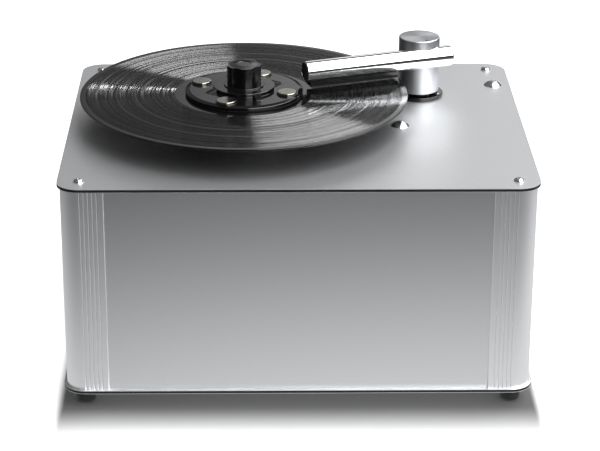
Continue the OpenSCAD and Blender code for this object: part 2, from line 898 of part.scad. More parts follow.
module clamp_disc() {
    r = clamp_d / 2;
    edge = 0.5;
    color(black) at_spindle() translate([0, 0, z_clamp]) difference() {
        union() {
            rotate_extrude($fn = 180) polygon([
                [0, 0], [r - edge, 0], [r, edge], [r, clamp_rim_h - edge],
                [r - edge, clamp_rim_h], [r - clamp_slope_w, clamp_top_h],
                [hub_d / 2, clamp_top_h], [hub_d / 2, hub_h - edge], [hub_d / 2 - edge, hub_h],
                [step_d / 2 + edge, hub_h], [step_d / 2, hub_h + step_h - edge / 2],
                [step_d / 2 - edge, hub_h + step_h], [0, hub_h + step_h]
            ]);
            at_weights() translate([0, 0, clamp_top_h - disc_depth])
                cylinder(r = disc_d / 2 + seat_w, h = disc_depth + seat_rise);
            for (i = [0 : rib_n - 1]) rotate([0, 0, rib_angle + i * 360 / rib_n]) clamp_rib();
        }
        translate([0, 0, -eps]) cylinder(r = collet_d / 2 + loose_fit, h = hub_h + step_h + 2 * eps);
        translate([0, 0, -eps]) cylinder(r = collet_flange_r + loose_fit, h = collet_flange_t + eps);
        at_weights() translate([0, 0, clamp_top_h - disc_depth])
            cylinder(r = disc_d / 2 + loose_fit, h = disc_depth + seat_rise + eps);
    }
}

module at_weights() {
    for (i = [0 : disc_n - 1]) rotate([0, 0, disc_angle + i * 360 / disc_n])
        translate([disc_pitch_r, 0, 0]) children();
}

module clamp_seal() {
    color(black) at_spindle() translate([0, 0, z_seal])
        ring(seal_r, seal_r - seal_w, seal_t, $fn = 180);
}

module clamp_weights() {
    h = disc_depth + disc_rise;
    edge = 0.7;
    color([0.68, 0.67, 0.63]) at_spindle() translate([0, 0, z_clamp + clamp_top_h - disc_depth])
        at_weights() rotate_extrude() polygon([
            [0, 0], [disc_d / 2, 0], [disc_d / 2, h - edge], [disc_d / 2 - edge, h], [0, h]
        ]);
}

module clamp_collet() {
    slit_w = 0.8;
    slit_deep = 10;
    color([0.78, 0.64, 0.35]) at_spindle() difference() {
        union() {
            translate([0, 0, z_clamp]) cylinder(r = collet_flange_r, h = collet_flange_t);
            translate([0, 0, z_clamp]) cylinder(r = collet_d / 2, h = collet_top - z_clamp);
        }
        translate([0, 0, z_clamp - eps])
            cylinder(r = pin_r + run_fit, h = collet_top - z_clamp + 2 * eps);
        for (a = [0, 90]) rotate([0, 0, a])
            translate([-collet_d, -slit_w / 2, collet_top - slit_deep])
                cube([2 * collet_d, slit_w, slit_deep + eps]);
    }
}

module clamp_knob() {
    r = knob_d / 2;
    edge = 0.6;
    bore_h = collet_top - z_knob + 1;
    flute_at = r + flute_r - flute_depth;
    color(black) at_spindle() translate([0, 0, z_knob]) difference() {
        rotate_extrude() polygon([
            [0, 0], [r, 0], [r, knob_h - edge], [r - edge, knob_h],
            [dish_d / 2 + 0.5, knob_h + 0.9], [dish_d / 2, knob_h + 0.7],
            [0, knob_h + 0.9 - dish_depth]
        ]);
        for (i = [0 : flute_n - 1]) rotate([0, 0, flute_angle + i * 360 / flute_n])
            translate([flute_at, 0, -eps]) cylinder(r = flute_r, h = knob_h + 2 * eps);
        translate([0, 0, -eps]) cylinder(r = collet_d / 2 + run_fit, h = bore_h + eps);
    }
}

// Suction arm, drawn in the arm's own frame

module along_arm(x0, x1, r) {
    translate([x0, -arm_offset, z_arm]) rotate([0, 90, 0]) cylinder(r = r, h = x1 - x0);
}

slot_x0 = suction_lead - arm_reach;
slot_x1 = slot_x0 + suction_len;

module suction_slot(w) {
    translate([slot_x0, -arm_offset - w / 2, z_arm - arm_r - bar_t - felt_t - eps])
        cube([suction_len, w, arm_r + bar_t + felt_t + eps]);
}

port_r = 4.5;

module arm_tube() {
    color(bright) at_arm() difference() {
        along_arm(-arm_reach, arm_tail, arm_r);
        along_arm(-arm_reach - eps, arm_tail + eps, arm_bore_r);
        suction_slot(suction_w);
        translate([0, 0, z_arm]) rotate([90, 0, 0]) cylinder(r = port_r, h = arm_offset);
    }
}

plug_deep = 6;
plug_sunk = 0.4;

// The two end plugs, each let in a little below the tube's rim
module arm_plugs() {
    plug_r = arm_bore_r - loose_fit;
    color(black) at_arm() {
        along_arm(plug_sunk - arm_reach, plug_deep - arm_reach, plug_r);
        along_arm(arm_tail - plug_deep, arm_tail - plug_sunk, plug_r);
    }
}

bar_w = 11;
bar_over = 3;

module nozzle_bar() {
    wrap = 2.2;
    color(black) at_arm() difference() {
        translate([slot_x0 - bar_over, -arm_offset - bar_w / 2, z_arm - arm_r - bar_t])
            cube([suction_len + 2 * bar_over, bar_w, bar_t + wrap]);
        along_arm(slot_x0 - bar_over - eps, slot_x1 + bar_over + eps, arm_r + loose_fit);
        suction_slot(suction_w);
    }
}

module nozzle_felts() {
    strip_w = (bar_w - suction_w) / 2 - 0.3;
    color([0.12, 0.12, 0.12]) at_arm() for (s = [-1, 1])
        translate([slot_x0 - bar_over, -arm_offset + s * (suction_w + strip_w) / 2 - strip_w / 2,
                   z_arm - arm_r - bar_t - felt_t])
            cube([suction_len + 2 * bar_over, strip_w, felt_t]);
}

grub_r = 2;

module tower_head() {
    r = tower_d / 2;
    top_edge = 0.8;
    low_edge = 0.4;
    color(silver) at_arm() difference() {
        rotate_extrude($fn = 128) polygon([
            [0, z_head], [r - low_edge, z_head], [r, z_head + low_edge],
            [r, z_head_top - top_edge], [r - top_edge, z_head_top], [0, z_head_top]
        ]);
        translate([0, 0, z_head - eps])
            cylinder(r = shaft_r + loose_fit, h = z_shaft_top - z_head + eps);
        translate([0, 0, z_shaft_top - eps])
            cylinder(r = shaft_r - shaft_wall, h = z_arm + 6 - z_shaft_top + eps);
        translate([0, 0, z_head - eps])
            cylinder(r = sleeve_r + 0.2, h = spring_high - z_head + eps);
        along_arm(-tower_d, tower_d, arm_r + loose_fit);
        translate([0, -arm_offset, z_arm]) cylinder(r = grub_r + loose_fit, h = tower_top);
    }
}

module arm_grub_screw() {
    z_low = z_arm + arm_r + 0.1;
    length = z_head_top - 0.8 - z_low;
    color(steel) at_arm() translate([0, -arm_offset, z_low]) difference() {
        cylinder(r = grub_r, h = length);
        translate([0, 0, length - 2]) cylinder(r = 1.2, h = 2 + eps, $fn = 6);
    }
}

module tower_shaft() {
    color(steel) at_arm() difference() {
        translate([0, 0, z_shaft_low]) ring(shaft_r, shaft_r - shaft_wall, z_shaft_top - z_shaft_low);
        translate([-key_w / 2 - run_fit, shaft_r - key_depth - run_fit, z_shaft_low - eps])
            cube([key_w + 2 * run_fit, key_depth + 2, z_deck + sleeve_rise - z_shaft_low + 2]);
    }
}

module shaft_clip() {
    color(steel) at_arm() translate([0, 0, z_sleeve_low - clip_t]) difference() {
        cylinder(r = shaft_r + 2.5, h = clip_t);
        translate([0, 0, -eps]) cylinder(r = shaft_r + loose_fit, h = clip_t + 2 * eps);
        translate([-1.5, 0, -eps]) cube([3, 2 * shaft_r, clip_t + 2 * eps]);
    }
}

// Points on the spring's path, one unbroken helix with closed ends
spring_steps = 8;
spring_rise = spring_high - spring_low - spring_wire_d;
spring_pitch = spring_rise / spring_turns;
function spring_point(i) =
    let (a = 360 * i / spring_steps)
    [spring_r * cos(a), spring_r * sin(a), spring_wire_d / 2 + spring_pitch * i / spring_steps];
function spring_section(i, sides) =
    let (a = 360 * i / spring_steps, p = spring_point(i))
    [for (k = [0 : sides - 1])
        let (b = 360 * k / sides, out = spring_wire_d / 2 * cos(b), up = spring_wire_d / 2 * sin(b))
        [p[0] + out * cos(a), p[1] + out * sin(a), p[2] + up]];

module lift_spring() {
    sides = 6;
    last = spring_turns * spring_steps;
    rings = [for (i = [0 : last]) each spring_section(i, sides)];
    walls = [for (i = [0 : last - 1], k = [0 : sides - 1])
        let (a = i * sides + k, b = i * sides + (k + 1) % sides)
        each [[a, a + sides, b], [b, a + sides, b + sides]]];
    ends = [
        for (k = [1 : sides - 2]) [0, k, k + 1],
        for (k = [1 : sides - 2]) [last * sides, last * sides + k + 1, last * sides + k]
    ];
    echo(least_gap_between_spring_turns = spring_pitch - spring_wire_d);
    color(steel) at_arm() translate([0, 0, spring_low]) polyhedron(points = rings, faces = concat(walls, ends));
}

module swivel_sleeve() {
    color([0.78, 0.64, 0.35]) at_arm() {
        difference() {
            union() {
                translate([0, 0, z_sleeve_low])
                    cylinder(r = sleeve_r, h = sleeve_len + sleeve_rise);
                translate([0, 0, z_deck - sleeve_flange_t])
                    cylinder(r = sleeve_flange_d / 2, h = sleeve_flange_t);
            }
            translate([0, 0, z_sleeve_low - eps])
                cylinder(r = sleeve_in_r, h = sleeve_len + sleeve_rise + 2 * eps);
        }
        translate([-key_w / 2, shaft_r - key_depth, z_sleeve_low + 2])
            cube([key_w, key_depth + 1, sleeve_len - 4]);
    }
}

module swivel_housing() {
    z_low = z_sleeve_low + 3;
    color([0.5, 0.5, 0.52]) at_tower() difference() {
        union() {
            translate([0, 0, z_low]) cylinder(r = housing_r, h = z_deck - z_low);
            translate([0, 0, z_lid - flange_t]) cylinder(r = flange_r, h = flange_t);
        }
        translate([0, 0, z_low - eps]) cylinder(r = housing_in_r, h = sleeve_len);
        translate([0, 0, z_deck - sleeve_flange_t - thrust_gap])
            cylinder(r = sleeve_flange_d / 2 + flange_recess, h = sleeve_flange_t + thrust_gap + eps);
    }
}

module tower_collar() {
    r = collar_d / 2;
    edge = 0.5;
    color(black) difference() {
        at_tower() rotate_extrude($fn = 128) polygon([
            [collar_in_r, z_deck], [r, z_deck], [r, z_deck + collar_h - edge],
            [r - edge, z_deck + collar_h], [collar_in_r, z_deck + collar_h]
        ]);
        translate([0, 0, z_deck - eps]) at_collar_screws()
            cylinder(r = collar_screw_r + loose_fit, h = collar_h + 2 * eps);
    }
}

module collar_screws() {
    color(bright) at_collar_screws() {
        translate([0, 0, z_deck + collar_h]) dome(2.2, 0.3);
        translate([0, 0, z_deck]) cylinder(r = collar_screw_r, h = collar_h + 0.1);
    }
}

// Waste tank

module ear_outline() {
    translate(bolt_1) circle(ear_r);
    translate([bolt_1[0] - ear_r, bolt_1[1]]) square([2 * ear_r, tank_y0 - bolt_1[1] + eps]);
    translate(bolt_2) circle(ear_r);
    translate([tank_x1 - eps, bolt_2[1] - ear_r]) square([bolt_2[0] - tank_x1 + eps, 2 * ear_r]);
}

// Everything that reaches towards the right side is trimmed clear of that panel
module inside_case() {
    intersection() {
        children();
        translate([0, 0, z_floor]) linear_extrude(post_h)
            square([2 * (panel_x - panel_t - 0.5), 2 * (panel_y - panel_t - 0.5)], center = true);
    }
}

module tank_lid() {
    color([0.3, 0.3, 0.32]) inside_case() difference() {
        translate([0, 0, z_lid]) linear_extrude(lid_t) union() {
            translate([tank_x0, tank_y0]) square([tank_w, tank_l]);
            ear_outline();
        }
        translate([0, 0, z_lid - eps]) {
            at_tower() cylinder(r = housing_r + loose_fit, h = lid_t + 2 * eps);
            at_bolts() cylinder(r = bolt_d / 2 + loose_fit, h = lid_t + 2 * eps);
        }
    }
}

module tank_gasket() {
    color(black) difference() {
        translate([tank_x0, tank_y0, z_tank_rim]) cube([tank_w, tank_l, gasket_t]);
        translate([tank_x0 + tank_wall, tank_y0 + tank_wall, z_tank_rim - eps])
            cube([tank_w - 2 * tank_wall, tank_l - 2 * tank_wall, gasket_t + 2 * eps]);
    }
}

module waste_tank() {
    nozzle_r = hose_bore / 2;
    color([0.86, 0.87, 0.85]) inside_case() difference() {
        union() {
            translate([tank_x0, tank_y0, z_tank]) cube([tank_w, tank_l, tank_h]);
            translate([0, 0, z_tank_rim - ear_t]) linear_extrude(ear_t) ear_outline();
            translate([tank_x0 - nozzle_len, fan_at[1], hose_z]) rotate([0, 90, 0])
                cylinder(r = nozzle_r, h = nozzle_len + eps);
            translate([drain_at_x, tank_y1 - eps, drain_z]) rotate([-90, 0, 0])
                cylinder(r = drain_r, h = 12 + eps);
        }
        translate([tank_x0 + tank_wall, tank_y0 + tank_wall, z_tank + tank_floor])
            cube([tank_w - 2 * tank_wall, tank_l - 2 * tank_wall, tank_h]);
        translate([tank_x0 - nozzle_len - eps, fan_at[1], hose_z]) rotate([0, 90, 0])
            cylinder(r = nozzle_r - nozzle_wall, h = nozzle_len + tank_wall + 2 * eps);
        translate([drain_at_x, tank_y1 - tank_wall - eps, drain_z]) rotate([-90, 0, 0])
            cylinder(r = drain_bore / 2, h = 12 + tank_wall + 2 * eps);
        at_bolts() translate([0, 0, z_tank_rim - ear_t - eps])
            cylinder(r = bolt_d / 2 + loose_fit, h = ear_t + 2 * eps);
    }
}

nut_h = 6.5;
nut_r = 7;

// Domed bolts through the deck, lid and tank, each with its nut
module tank_bolts() {
    z_nut = z_tank_rim - ear_t - nut_h;
    color(bright) at_bolts() {
        translate([0, 0, z_deck]) dome(dome_d / 2, dome_h);
        translate([0, 0, z_nut - 2]) cylinder(r = bolt_d / 2, h = z_deck - z_nut + 2.1);
        translate([0, 0, z_nut]) difference() {
            cylinder(r = nut_r, h = nut_h, $fn = 6);
            translate([0, 0, -eps]) cylinder(r = bolt_d / 2 + loose_fit, h = nut_h + 2 * eps);
        }
    }
}

// Suction fan and hose

module hose_section(r_out, r_in) {
    difference() {
        circle(r_out);
        circle(r_in);
    }
}

module suction_hose() {
    x_end = tank_x0 - nozzle_len + 14;
    x_bend = fan_at[0] + hose_bend_r;
    z_bend = hose_z - hose_bend_r;
    z_end = z_fan_top + 2;
    color([0.2, 0.2, 0.21]) translate([0, fan_at[1], 0]) {
        translate([x_bend, 0, hose_z]) rotate([0, 90, 0])
            linear_extrude(x_end - x_bend) hose_section(hose_r, hose_in_r);
        translate([fan_at[0], 0, z_end])
            linear_extrude(z_bend - z_end) hose_section(hose_r, hose_in_r);
        translate([x_bend, 0, z_bend]) rotate([90, 0, 0]) rotate_extrude(angle = 90, start = 90)
            translate([hose_bend_r, 0]) hose_section(hose_r, hose_in_r);
    }
}

module fan_case() {
    nozzle_r = hose_bore / 2;
    outlet_r = 14;
    outlet_len = panel_y - panel_t - fan_at[1] - 4;
    color([0.25, 0.25, 0.27]) translate([fan_at[0], fan_at[1], z_fan]) difference() {
        union() {
            cylinder(r = fan_d / 2, h = fan_h);
            translate([0, 0, fan_h - eps]) cylinder(r = nozzle_r, h = nozzle_len);
            translate([0, 0, fan_h / 2]) rotate([-90, 0, 0]) cylinder(r = outlet_r, h = outlet_len);
        }
        translate([0, 0, fan_wall]) cylinder(r = fan_d / 2 - fan_wall, h = fan_h - 2 * fan_wall);
        translate([0, 0, -eps]) cylinder(r = wheel_shaft_r + 2, h = fan_wall + 2 * eps);
        translate([0, 0, fan_h - fan_wall - eps])
            cylinder(r = nozzle_r - nozzle_wall, h = nozzle_len + fan_wall + eps);
        translate([0, 0, fan_h / 2]) rotate([-90, 0, 0])
            cylinder(r = outlet_r - nozzle_wall, h = outlet_len + eps);
    }
}

wheel_shaft_r = 4;
wheel_shaft_len = 18;

// A back plate with blades, on a short shaft that turns in the motor
module fan_wheel() {
    hub_r = 9;
    plate_h = 3;
    blade_t = 2;
    low = fan_wall + 2;
    top = fan_h - 2 * fan_wall - low;
    eye_r = hose_bore / 2 + 2;
    color(silver) translate([fan_at[0], fan_at[1], z_fan]) {
        translate([0, 0, low]) cylinder(r = wheel_d / 2, h = plate_h);
        translate([0, 0, -wheel_shaft_len]) cylinder(r = wheel_shaft_r, h = wheel_shaft_len + low + 1);
        translate([0, 0, low]) cylinder(r = hub_r, h = top);
        for (i = [0 : blade_n - 1]) rotate([0, 0, i * 360 / blade_n])
            translate([eye_r, -blade_t / 2, low + 1])
                cube([wheel_d / 2 - 1 - eye_r, blade_t, top]);
    }
}

module fan_motor() {
    r = fan_motor_d / 2;
    foot = 3;
    color(steel) translate([fan_at[0], fan_at[1], z_floor]) difference() {
        rotate_extrude() polygon([
            [0, 0], [r - 6, 0], [r - 6, foot], [r, foot + 4], [r, fan_motor_h], [0, fan_motor_h]
        ]);
        translate([0, 0, fan_motor_h - wheel_shaft_len])
            cylinder(r = wheel_shaft_r + run_fit, h = wheel_shaft_len + eps);
    }
}

// Drain

module drain_port() {
    nut_t = 3;
    tail = 9;
    color([0.25, 0.25, 0.27]) translate([drain_at_x, panel_y + port_flange_t, drain_z])
        rotate([90, 0, 0]) difference() {
            union() {
                cylinder(r = drain_r + 5, h = port_flange_t);
                cylinder(r = drain_r, h = port_flange_t + panel_t + nut_t + tail);
                translate([0, 0, port_flange_t + panel_t]) cylinder(r = drain_r + 4, h = nut_t);
            }
            translate([0, 0, -eps])
                cylinder(r = drain_bore / 2, h = port_flange_t + panel_t + nut_t + tail + 2 * eps);
        }
}

module drain_bung() {
    bung_deep = 10;
    color([0.14, 0.14, 0.15]) translate([drain_at_x, panel_y + port_flange_t + bung_t, drain_z])
        rotate([90, 0, 0]) {
            cylinder(r = drain_bore / 2 + 3, h = bung_t);
            cylinder(r = drain_bore / 2 - run_fit, h = bung_t + bung_deep);
        }
}

module drain_hose() {
    y0 = tank_y1 + 2;
    y1 = panel_y - panel_t - 4;
    color([0.2, 0.2, 0.21]) translate([drain_at_x, y0, drain_z]) rotate([-90, 0, 0])
        ring(drain_r + loose_fit + 2, drain_r + loose_fit, y1 - y0);
}

// Mains inlet, board and wiring

module mains_inlet() {
    flange_over = 3;
    pin_len = 9;
    z_low = -inlet_h / 2;
    color(black) translate([inlet_at_x, panel_y + inlet_flange_t, inlet_z]) {
        difference() {
            union() {
                translate([-inlet_w / 2 - flange_over, -inlet_flange_t, z_low - flange_over])
                    cube([inlet_w + 2 * flange_over, inlet_flange_t, inlet_h + 2 * flange_over]);
                translate([-inlet_w / 2, -inlet_deep, z_low])
                    cube([inlet_w, inlet_deep - eps, inlet_h]);
            }
            translate([-socket_w / 2, -socket_deep, -socket_h / 2])
                cube([socket_w, socket_deep + eps, socket_h]);
        }
        for (p = [[-7, -2], [0, 2], [7, -2]])
            translate([p[0] - 1, -socket_deep - eps, p[1] - 2]) cube([2, pin_len + eps, 4]);
    }
}

module board_spacers() {
    color(bright) at_board_holes() translate([0, 0, z_floor]) cylinder(r = 3, h = spacer_h);
}

// The transformer, a relay, a heat sink, two capacitors and two terminal blocks on a board
module control_board() {
    color([0.16, 0.35, 0.22]) translate([board_at[0], board_at[1], z_board]) {
        translate([-board_w / 2, -board_d / 2, 0]) cube([board_w, board_d, board_t]);
        translate([transformer_in - board_w / 2, -transformer[1] / 2 + 1, board_t]) cube(transformer);
        translate([relay_x, parts_y, board_t]) cube(relay);
        translate([heat_sink_x, parts_y, board_t]) cube(heat_sink);
        for (c = capacitors) translate([c[0], c[1], board_t]) cylinder(r = c[2], h = c[3]);
        translate([-row_len / 2, board_d / 2 - row_w - 2, board_t]) cube([row_len, row_w, block_h]);
        translate([board_w / 2 - block_w - 1, block_y - board_d / 2, board_t])
            cube([block_w, block_len, block_h]);
    }
}

wire_r = 2.2;
bend_r = wire_r + 0.4;

// Three looms: inlet to board, board to drive motor, switches to board
module wiring() {
    z_low = z_floor + bend_r + 0.2;
    z_block = z_board + board_t + block_h;
    z_row = z_block + 5;
    y_row = board_at[1] + board_d / 2 - row_w / 2 - 2;
    aisle = 8;
    drop = 7;
    x_aisle = board_at[0] + board_w / 2 + aisle;
    x_inlet = inlet_at_x + inlet_pin;
    x_pins = [for (pin = row_pins) board_at[0] + pin];
    y_inlet = panel_y + inlet_flange_t - inlet_deep;
    x_block = board_at[0] + board_w / 2 - block_w / 2 - 1;
    y_block = board_at[1] - board_d / 2 + block_y + block_pin;
    z_motor = z_motor_top - motor_h;
    x_switch = panel_x + bezel_t - housing_deep;
    lane = 2.6;
    color([0.15, 0.15, 0.16]) {
        bar_path([
            [x_inlet, y_inlet, inlet_z], [x_inlet, y_inlet - drop, inlet_z],
            [x_inlet, y_inlet - drop, z_low], [x_aisle, y_inlet - drop, z_low],
            [x_aisle, y_row + lane, z_low], [x_aisle, y_row + lane, z_row],
            [x_pins[0], y_row + lane, z_row], [x_pins[0], y_row + lane, z_block]
        ]);
        bar_path([
            [spindle_x, spindle_y, z_motor], [spindle_x, spindle_y, z_motor - aisle],
            [spindle_x, y_row - lane, z_motor - aisle], [x_pins[1], y_row - lane, z_motor - aisle],
            [x_pins[1], y_row - lane, z_block]
        ]);
        for (i = [0, 1]) let (x_drop = x_switch - aisle - drop * i, y_lane = y_block - aisle * (1 - i))
            bar_path([
                [x_switch, switch_at_y + i * switch_pitch, switch_z],
                [x_drop, switch_at_y + i * switch_pitch, switch_z], [x_drop, y_lane, switch_z],
                [x_drop, y_lane, z_low], [x_aisle + aisle, y_lane, z_low],
                [x_aisle + aisle, y_lane, z_row], [x_block, y_lane, z_row], [x_block, y_lane, z_block]
            ]);
    }
}

// Rocker switches, drawn about the rocker's pivot

module switch_housing() {
    front = panel_x - pivot_x;
    cavity_w = rocker_w + 2 * rocker_gap;
    difference() {
        union() {
            translate([front, -bezel_w / 2, -bezel_h / 2]) cube([bezel_t, bezel_w, bezel_h]);
            translate([front + bezel_t - housing_deep, -housing_w / 2, -housing_h / 2])
                cube([housing_deep - bezel_t + eps, housing_w, housing_h]);
        }
        translate([0, cavity_w / 2, 0]) rotate([90, 0, 0])
            cylinder(r = rocker_r + rocker_gap, h = cavity_w);
        translate([0, housing_w / 2 + eps, 0]) rotate([90, 0, 0])
            cylinder(r = 1.5 + run_fit, h = housing_w + 2 * eps);
    }
}

module switch_housings() {
    color(black) at_switches() switch_housing();
}

module rocker() {
    rotate([90, 0, 0]) translate([0, 0, -rocker_w / 2]) linear_extrude(rocker_w) polygon([
        [-3, -6], [-3, 6], [6.6, 10.9], [8.4, 9.8], [4.8, 0], [8.4, -9.8], [6.6, -10.9]
    ]);
    rotate([90, 0, 0]) translate([0, 0, 0.3 - housing_w / 2]) cylinder(r = 1.5, h = housing_w - 0.6);
}

// Front switch, for turning the platter either way, shown at its middle stop
module rotation_rocker() {
    color(black) translate([pivot_x, switch_at_y, switch_z]) rocker();
}

// Rear switch, for suction, shown at its off stop
module vacuum_rocker() {
    color(black) translate([pivot_x, switch_at_y + switch_pitch, switch_z])
        rotate([0, -rocker_tilt, 0]) rocker();
}

deck_plate();
base_plate();
post_front_left();
post_front_right();
post_rear_left();
post_rear_right();
front_panel();
rear_panel();
left_panel();
right_panel();
corner_screws();
feet();
gear_motor();
gearbox();
motor_bracket();
bracket_screws();
output_shaft();
shaft_coupling();
platter_bearing();
spindle();
platter();
platter_mat();
record();
record_labels();
clamp_disc();
clamp_seal();
clamp_weights();
clamp_collet();
clamp_knob();
arm_tube();
arm_plugs();
nozzle_bar();
nozzle_felts();
tower_head();
arm_grub_screw();
tower_shaft();
shaft_clip();
lift_spring();
swivel_sleeve();
swivel_housing();
tower_collar();
collar_screws();
tank_lid();
tank_gasket();
waste_tank();
tank_bolts();
suction_hose();
fan_case();
fan_wheel();
fan_motor();
drain_port();
drain_bung();
drain_hose();
mains_inlet();
control_board();
board_spacers();
switch_housings();
rotation_rocker();
vacuum_rocker();
wiring();
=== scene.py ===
# Looks of a record cleaning machine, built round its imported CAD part.
# Sizes are in millimetres up to the moment a piece is modelled, where MM turns them to metres.
import math

import bpy
from mathutils import Matrix, Vector


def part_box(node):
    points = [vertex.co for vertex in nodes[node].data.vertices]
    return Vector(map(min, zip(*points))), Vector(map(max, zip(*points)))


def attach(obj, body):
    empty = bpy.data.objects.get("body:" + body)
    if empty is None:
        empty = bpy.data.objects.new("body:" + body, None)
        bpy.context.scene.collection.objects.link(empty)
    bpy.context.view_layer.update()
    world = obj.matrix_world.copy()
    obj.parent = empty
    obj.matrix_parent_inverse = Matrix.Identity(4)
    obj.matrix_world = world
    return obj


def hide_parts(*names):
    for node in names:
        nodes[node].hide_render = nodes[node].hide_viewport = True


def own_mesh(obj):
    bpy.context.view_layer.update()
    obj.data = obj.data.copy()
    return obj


MM = 0.001

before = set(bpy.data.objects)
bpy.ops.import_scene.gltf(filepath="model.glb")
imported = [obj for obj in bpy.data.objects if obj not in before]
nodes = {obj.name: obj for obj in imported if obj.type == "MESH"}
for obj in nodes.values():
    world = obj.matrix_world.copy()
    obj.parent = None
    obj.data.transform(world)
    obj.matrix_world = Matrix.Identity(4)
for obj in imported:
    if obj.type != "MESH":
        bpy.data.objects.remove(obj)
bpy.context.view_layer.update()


def low_mm(node):
    """A CAD node's lowest corner in millimetres"""
    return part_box(node)[0] / MM


def high_mm(node):
    """A CAD node's highest corner in millimetres"""
    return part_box(node)[1] / MM


# Places that the frame gives
deck_low, deck_high = low_mm("deck_plate"), high_mm("deck_plate")
deck_top = deck_high.z
case_w = deck_high.x - deck_low.x
case_d = deck_high.y - deck_low.y
foot_h = low_mm("base_plate").z
panel_t = high_mm("rear_panel").y - low_mm("rear_panel").y
record_low, record_high = low_mm("record"), high_mm("record")
spindle = (record_low + record_high) / 2
record_r = (record_high.x - record_low.x) / 2
clamp_z = low_mm("clamp_disc").z
clamp_r = (high_mm("clamp_disc").x - low_mm("clamp_disc").x) / 2
knob_low, knob_high = low_mm("clamp_knob"), high_mm("clamp_knob")
tower = (low_mm("tower_collar") + high_mm("tower_collar")) / 2
head_low, head_high = low_mm("tower_head").z, high_mm("tower_head").z

# Case
corner_r = 20
skin_t = 0.35
core_inset = 0.25
corner_inset = 19
screw_head_r = 4.5
screw_head_h = 2.8
screw_r = 2.5
screw_len = 22
recess_reach = 2.4
recess_half_w = 0.5
recess_floor = 1.2
foot_r = 9
foot_round = 3
foot_recess = 6

# Holes through the deck, and the span of a drill that clears the whole machine
spindle_hole_r = 14.05
tower_hole_r = 20.05
pillar_hole_r = 3.7
pillar_at = 35
drill_from, drill_to = -10, 300

# Record and clamp
rim_w = 5
rim_t = 1.9
groove_t = 1.5
label_r = 50
record_hole_r = 3.62
label_zone_t = 2.2
groove_end_r = 63.8
groove_pitch = 0.13
track_gaps = [116.6, 99.3]
gap_w = 1.1
gap_sunk = 0.05
gap_slope = 0.1
rim_round = 0.5
bead_slope = 0.4
label_slope = 0.5
clamp_top = 3.7
hub_r = 28.3
hub_h = 7.1
step_r = 18.5
step_h = 1.1
rib_n = 4
rib_angle = 23
rib_w = 6.6
rib_reach = 9
weight_n = 4
weight_angle = 68
weight_r = 9
weight_pitch_r = 42.3
weight_deep = 1.5
weight_rise = 2.3
seat_w = 1.1
seat_rise = 0.4
collet_r = 6
knob_r = 15.8
knob_gap = 0.06
knob_crown = 0.9
flute_n = 5
flute_angle = -43
flute_depth = 2.2
flute_r = 10
dish_r = 6.2

# Tower and arm
tower_r = 19.2
shaft_r = 10
shaft_wall = 2
spring_room_r = 14.2
spring_r = 12.06
spring_wire_r = 0.8
spring_turns = 5
spring_low = 1.05
spring_top = 20
arm_angle = 19.5
arm_r = 9.9
arm_wall = 1.5
arm_offset = 14.2
arm_z = deck_top + 40.6
arm_reach = 121
arm_tail = 25.8
bar_w = 11
bar_t = 1.9
bar_wrap = 2.2
bar_over = 3
felt_t = 2.2
slot_w = 2.4
slot_len = 82
slot_lead = 7
bar_start = slot_lead - arm_reach - bar_over
bar_end = bar_start + slot_len + 2 * bar_over
bar_under = arm_z - arm_r - bar_t
grub_r = 2.5
collar_r = 23.4
collar_bore_r = 14.42
collar_h = 3.5
collar_screw_angles = [-25, 95, 215]
collar_screw_pitch_r = (collar_bore_r + collar_r) / 2

# Deck bolts
bolts_at = [(94.6, -10.4), (190.8, 103.6)]
bolt_dome_r = 8.5
bolt_dome_h = 4.2
bolt_r = 4
nut_r = 7
nut_h = 6.5

# Switches, inlet and drain
bezel_t = 1.4
bezel_w = 24
bezel_h = 34
bezel_reach = 7.4
housing_w = 20
housing_h = 30
housing_deep = 23
rocker_w = 15.4
rocker_room_r = 13.4
rocker_room_w = 16
rocker_tilt = 10
rocker_pin_r = 1.5
inlet_w = 47
inlet_h = 26
inlet_flange_t = 2.8
inlet_deep = 28
socket_w = 24.5
socket_h = 16.5
socket_deep = 18
contact_len = 9
contacts_at = [(-7, -2), (0, 2), (7, -2)]
drain_wall = 2
drain_flange_w = 5
drain_flange_t = 2.5
drain_nut_t = 3
bung_t = 1.5
bung_len = 11.5


# Places and outlines, in millimetres and degrees

def moved(x, y, z):
    """A move from the origin"""
    return Matrix.Translation((x, y, z))


def turned_by(degrees, axis="Z"):
    """A turn about an axis through the origin"""
    return Matrix.Rotation(math.radians(degrees), 4, axis)


def on_circle(radius, degrees):
    """A point on a circle about the z axis, as x and y"""
    angle = math.radians(degrees)
    return radius * math.cos(angle), radius * math.sin(angle)


def hexagon(radius):
    """A nut's outline, by the radius of its corners"""
    return [on_circle(radius, 60 * i) for i in range(6)]


at_tower = moved(tower.x, tower.y, 0)
at_arm = at_tower @ turned_by(arm_angle)


# Modelling

def deselect():
    """Leaves nothing selected, so that an operator takes only the new piece"""
    bpy.ops.object.select_all(action="DESELECT")


def only(piece):
    """Selects one piece alone and makes it the active one"""
    deselect()
    piece.select_set(True)
    bpy.context.view_layer.objects.active = piece


def settle(piece, matrix):
    """Moves a piece to its place, given in millimetres, and leaves its object at the origin"""
    place = matrix.copy()
    place.translation *= MM
    piece.data.transform(place)
    piece.data.update()
    return piece


def apply_modifier(piece, kind, settings):
    """Adds one modifier, sets it and applies it"""
    only(piece)
    modifier = piece.modifiers.new(kind, kind)
    for name, value in settings.items():
        setattr(modifier, name, value)
    bpy.ops.object.modifier_apply(modifier=modifier.name)


def smooth(piece, angle=32):
    """Shades curves smooth, with wide flat faces kept flat"""
    only(piece)
    bpy.ops.object.shade_smooth_by_angle(angle=math.radians(angle))
    apply_modifier(piece, "WEIGHTED_NORMAL", {"keep_sharp": True, "weight": 100})
    return piece


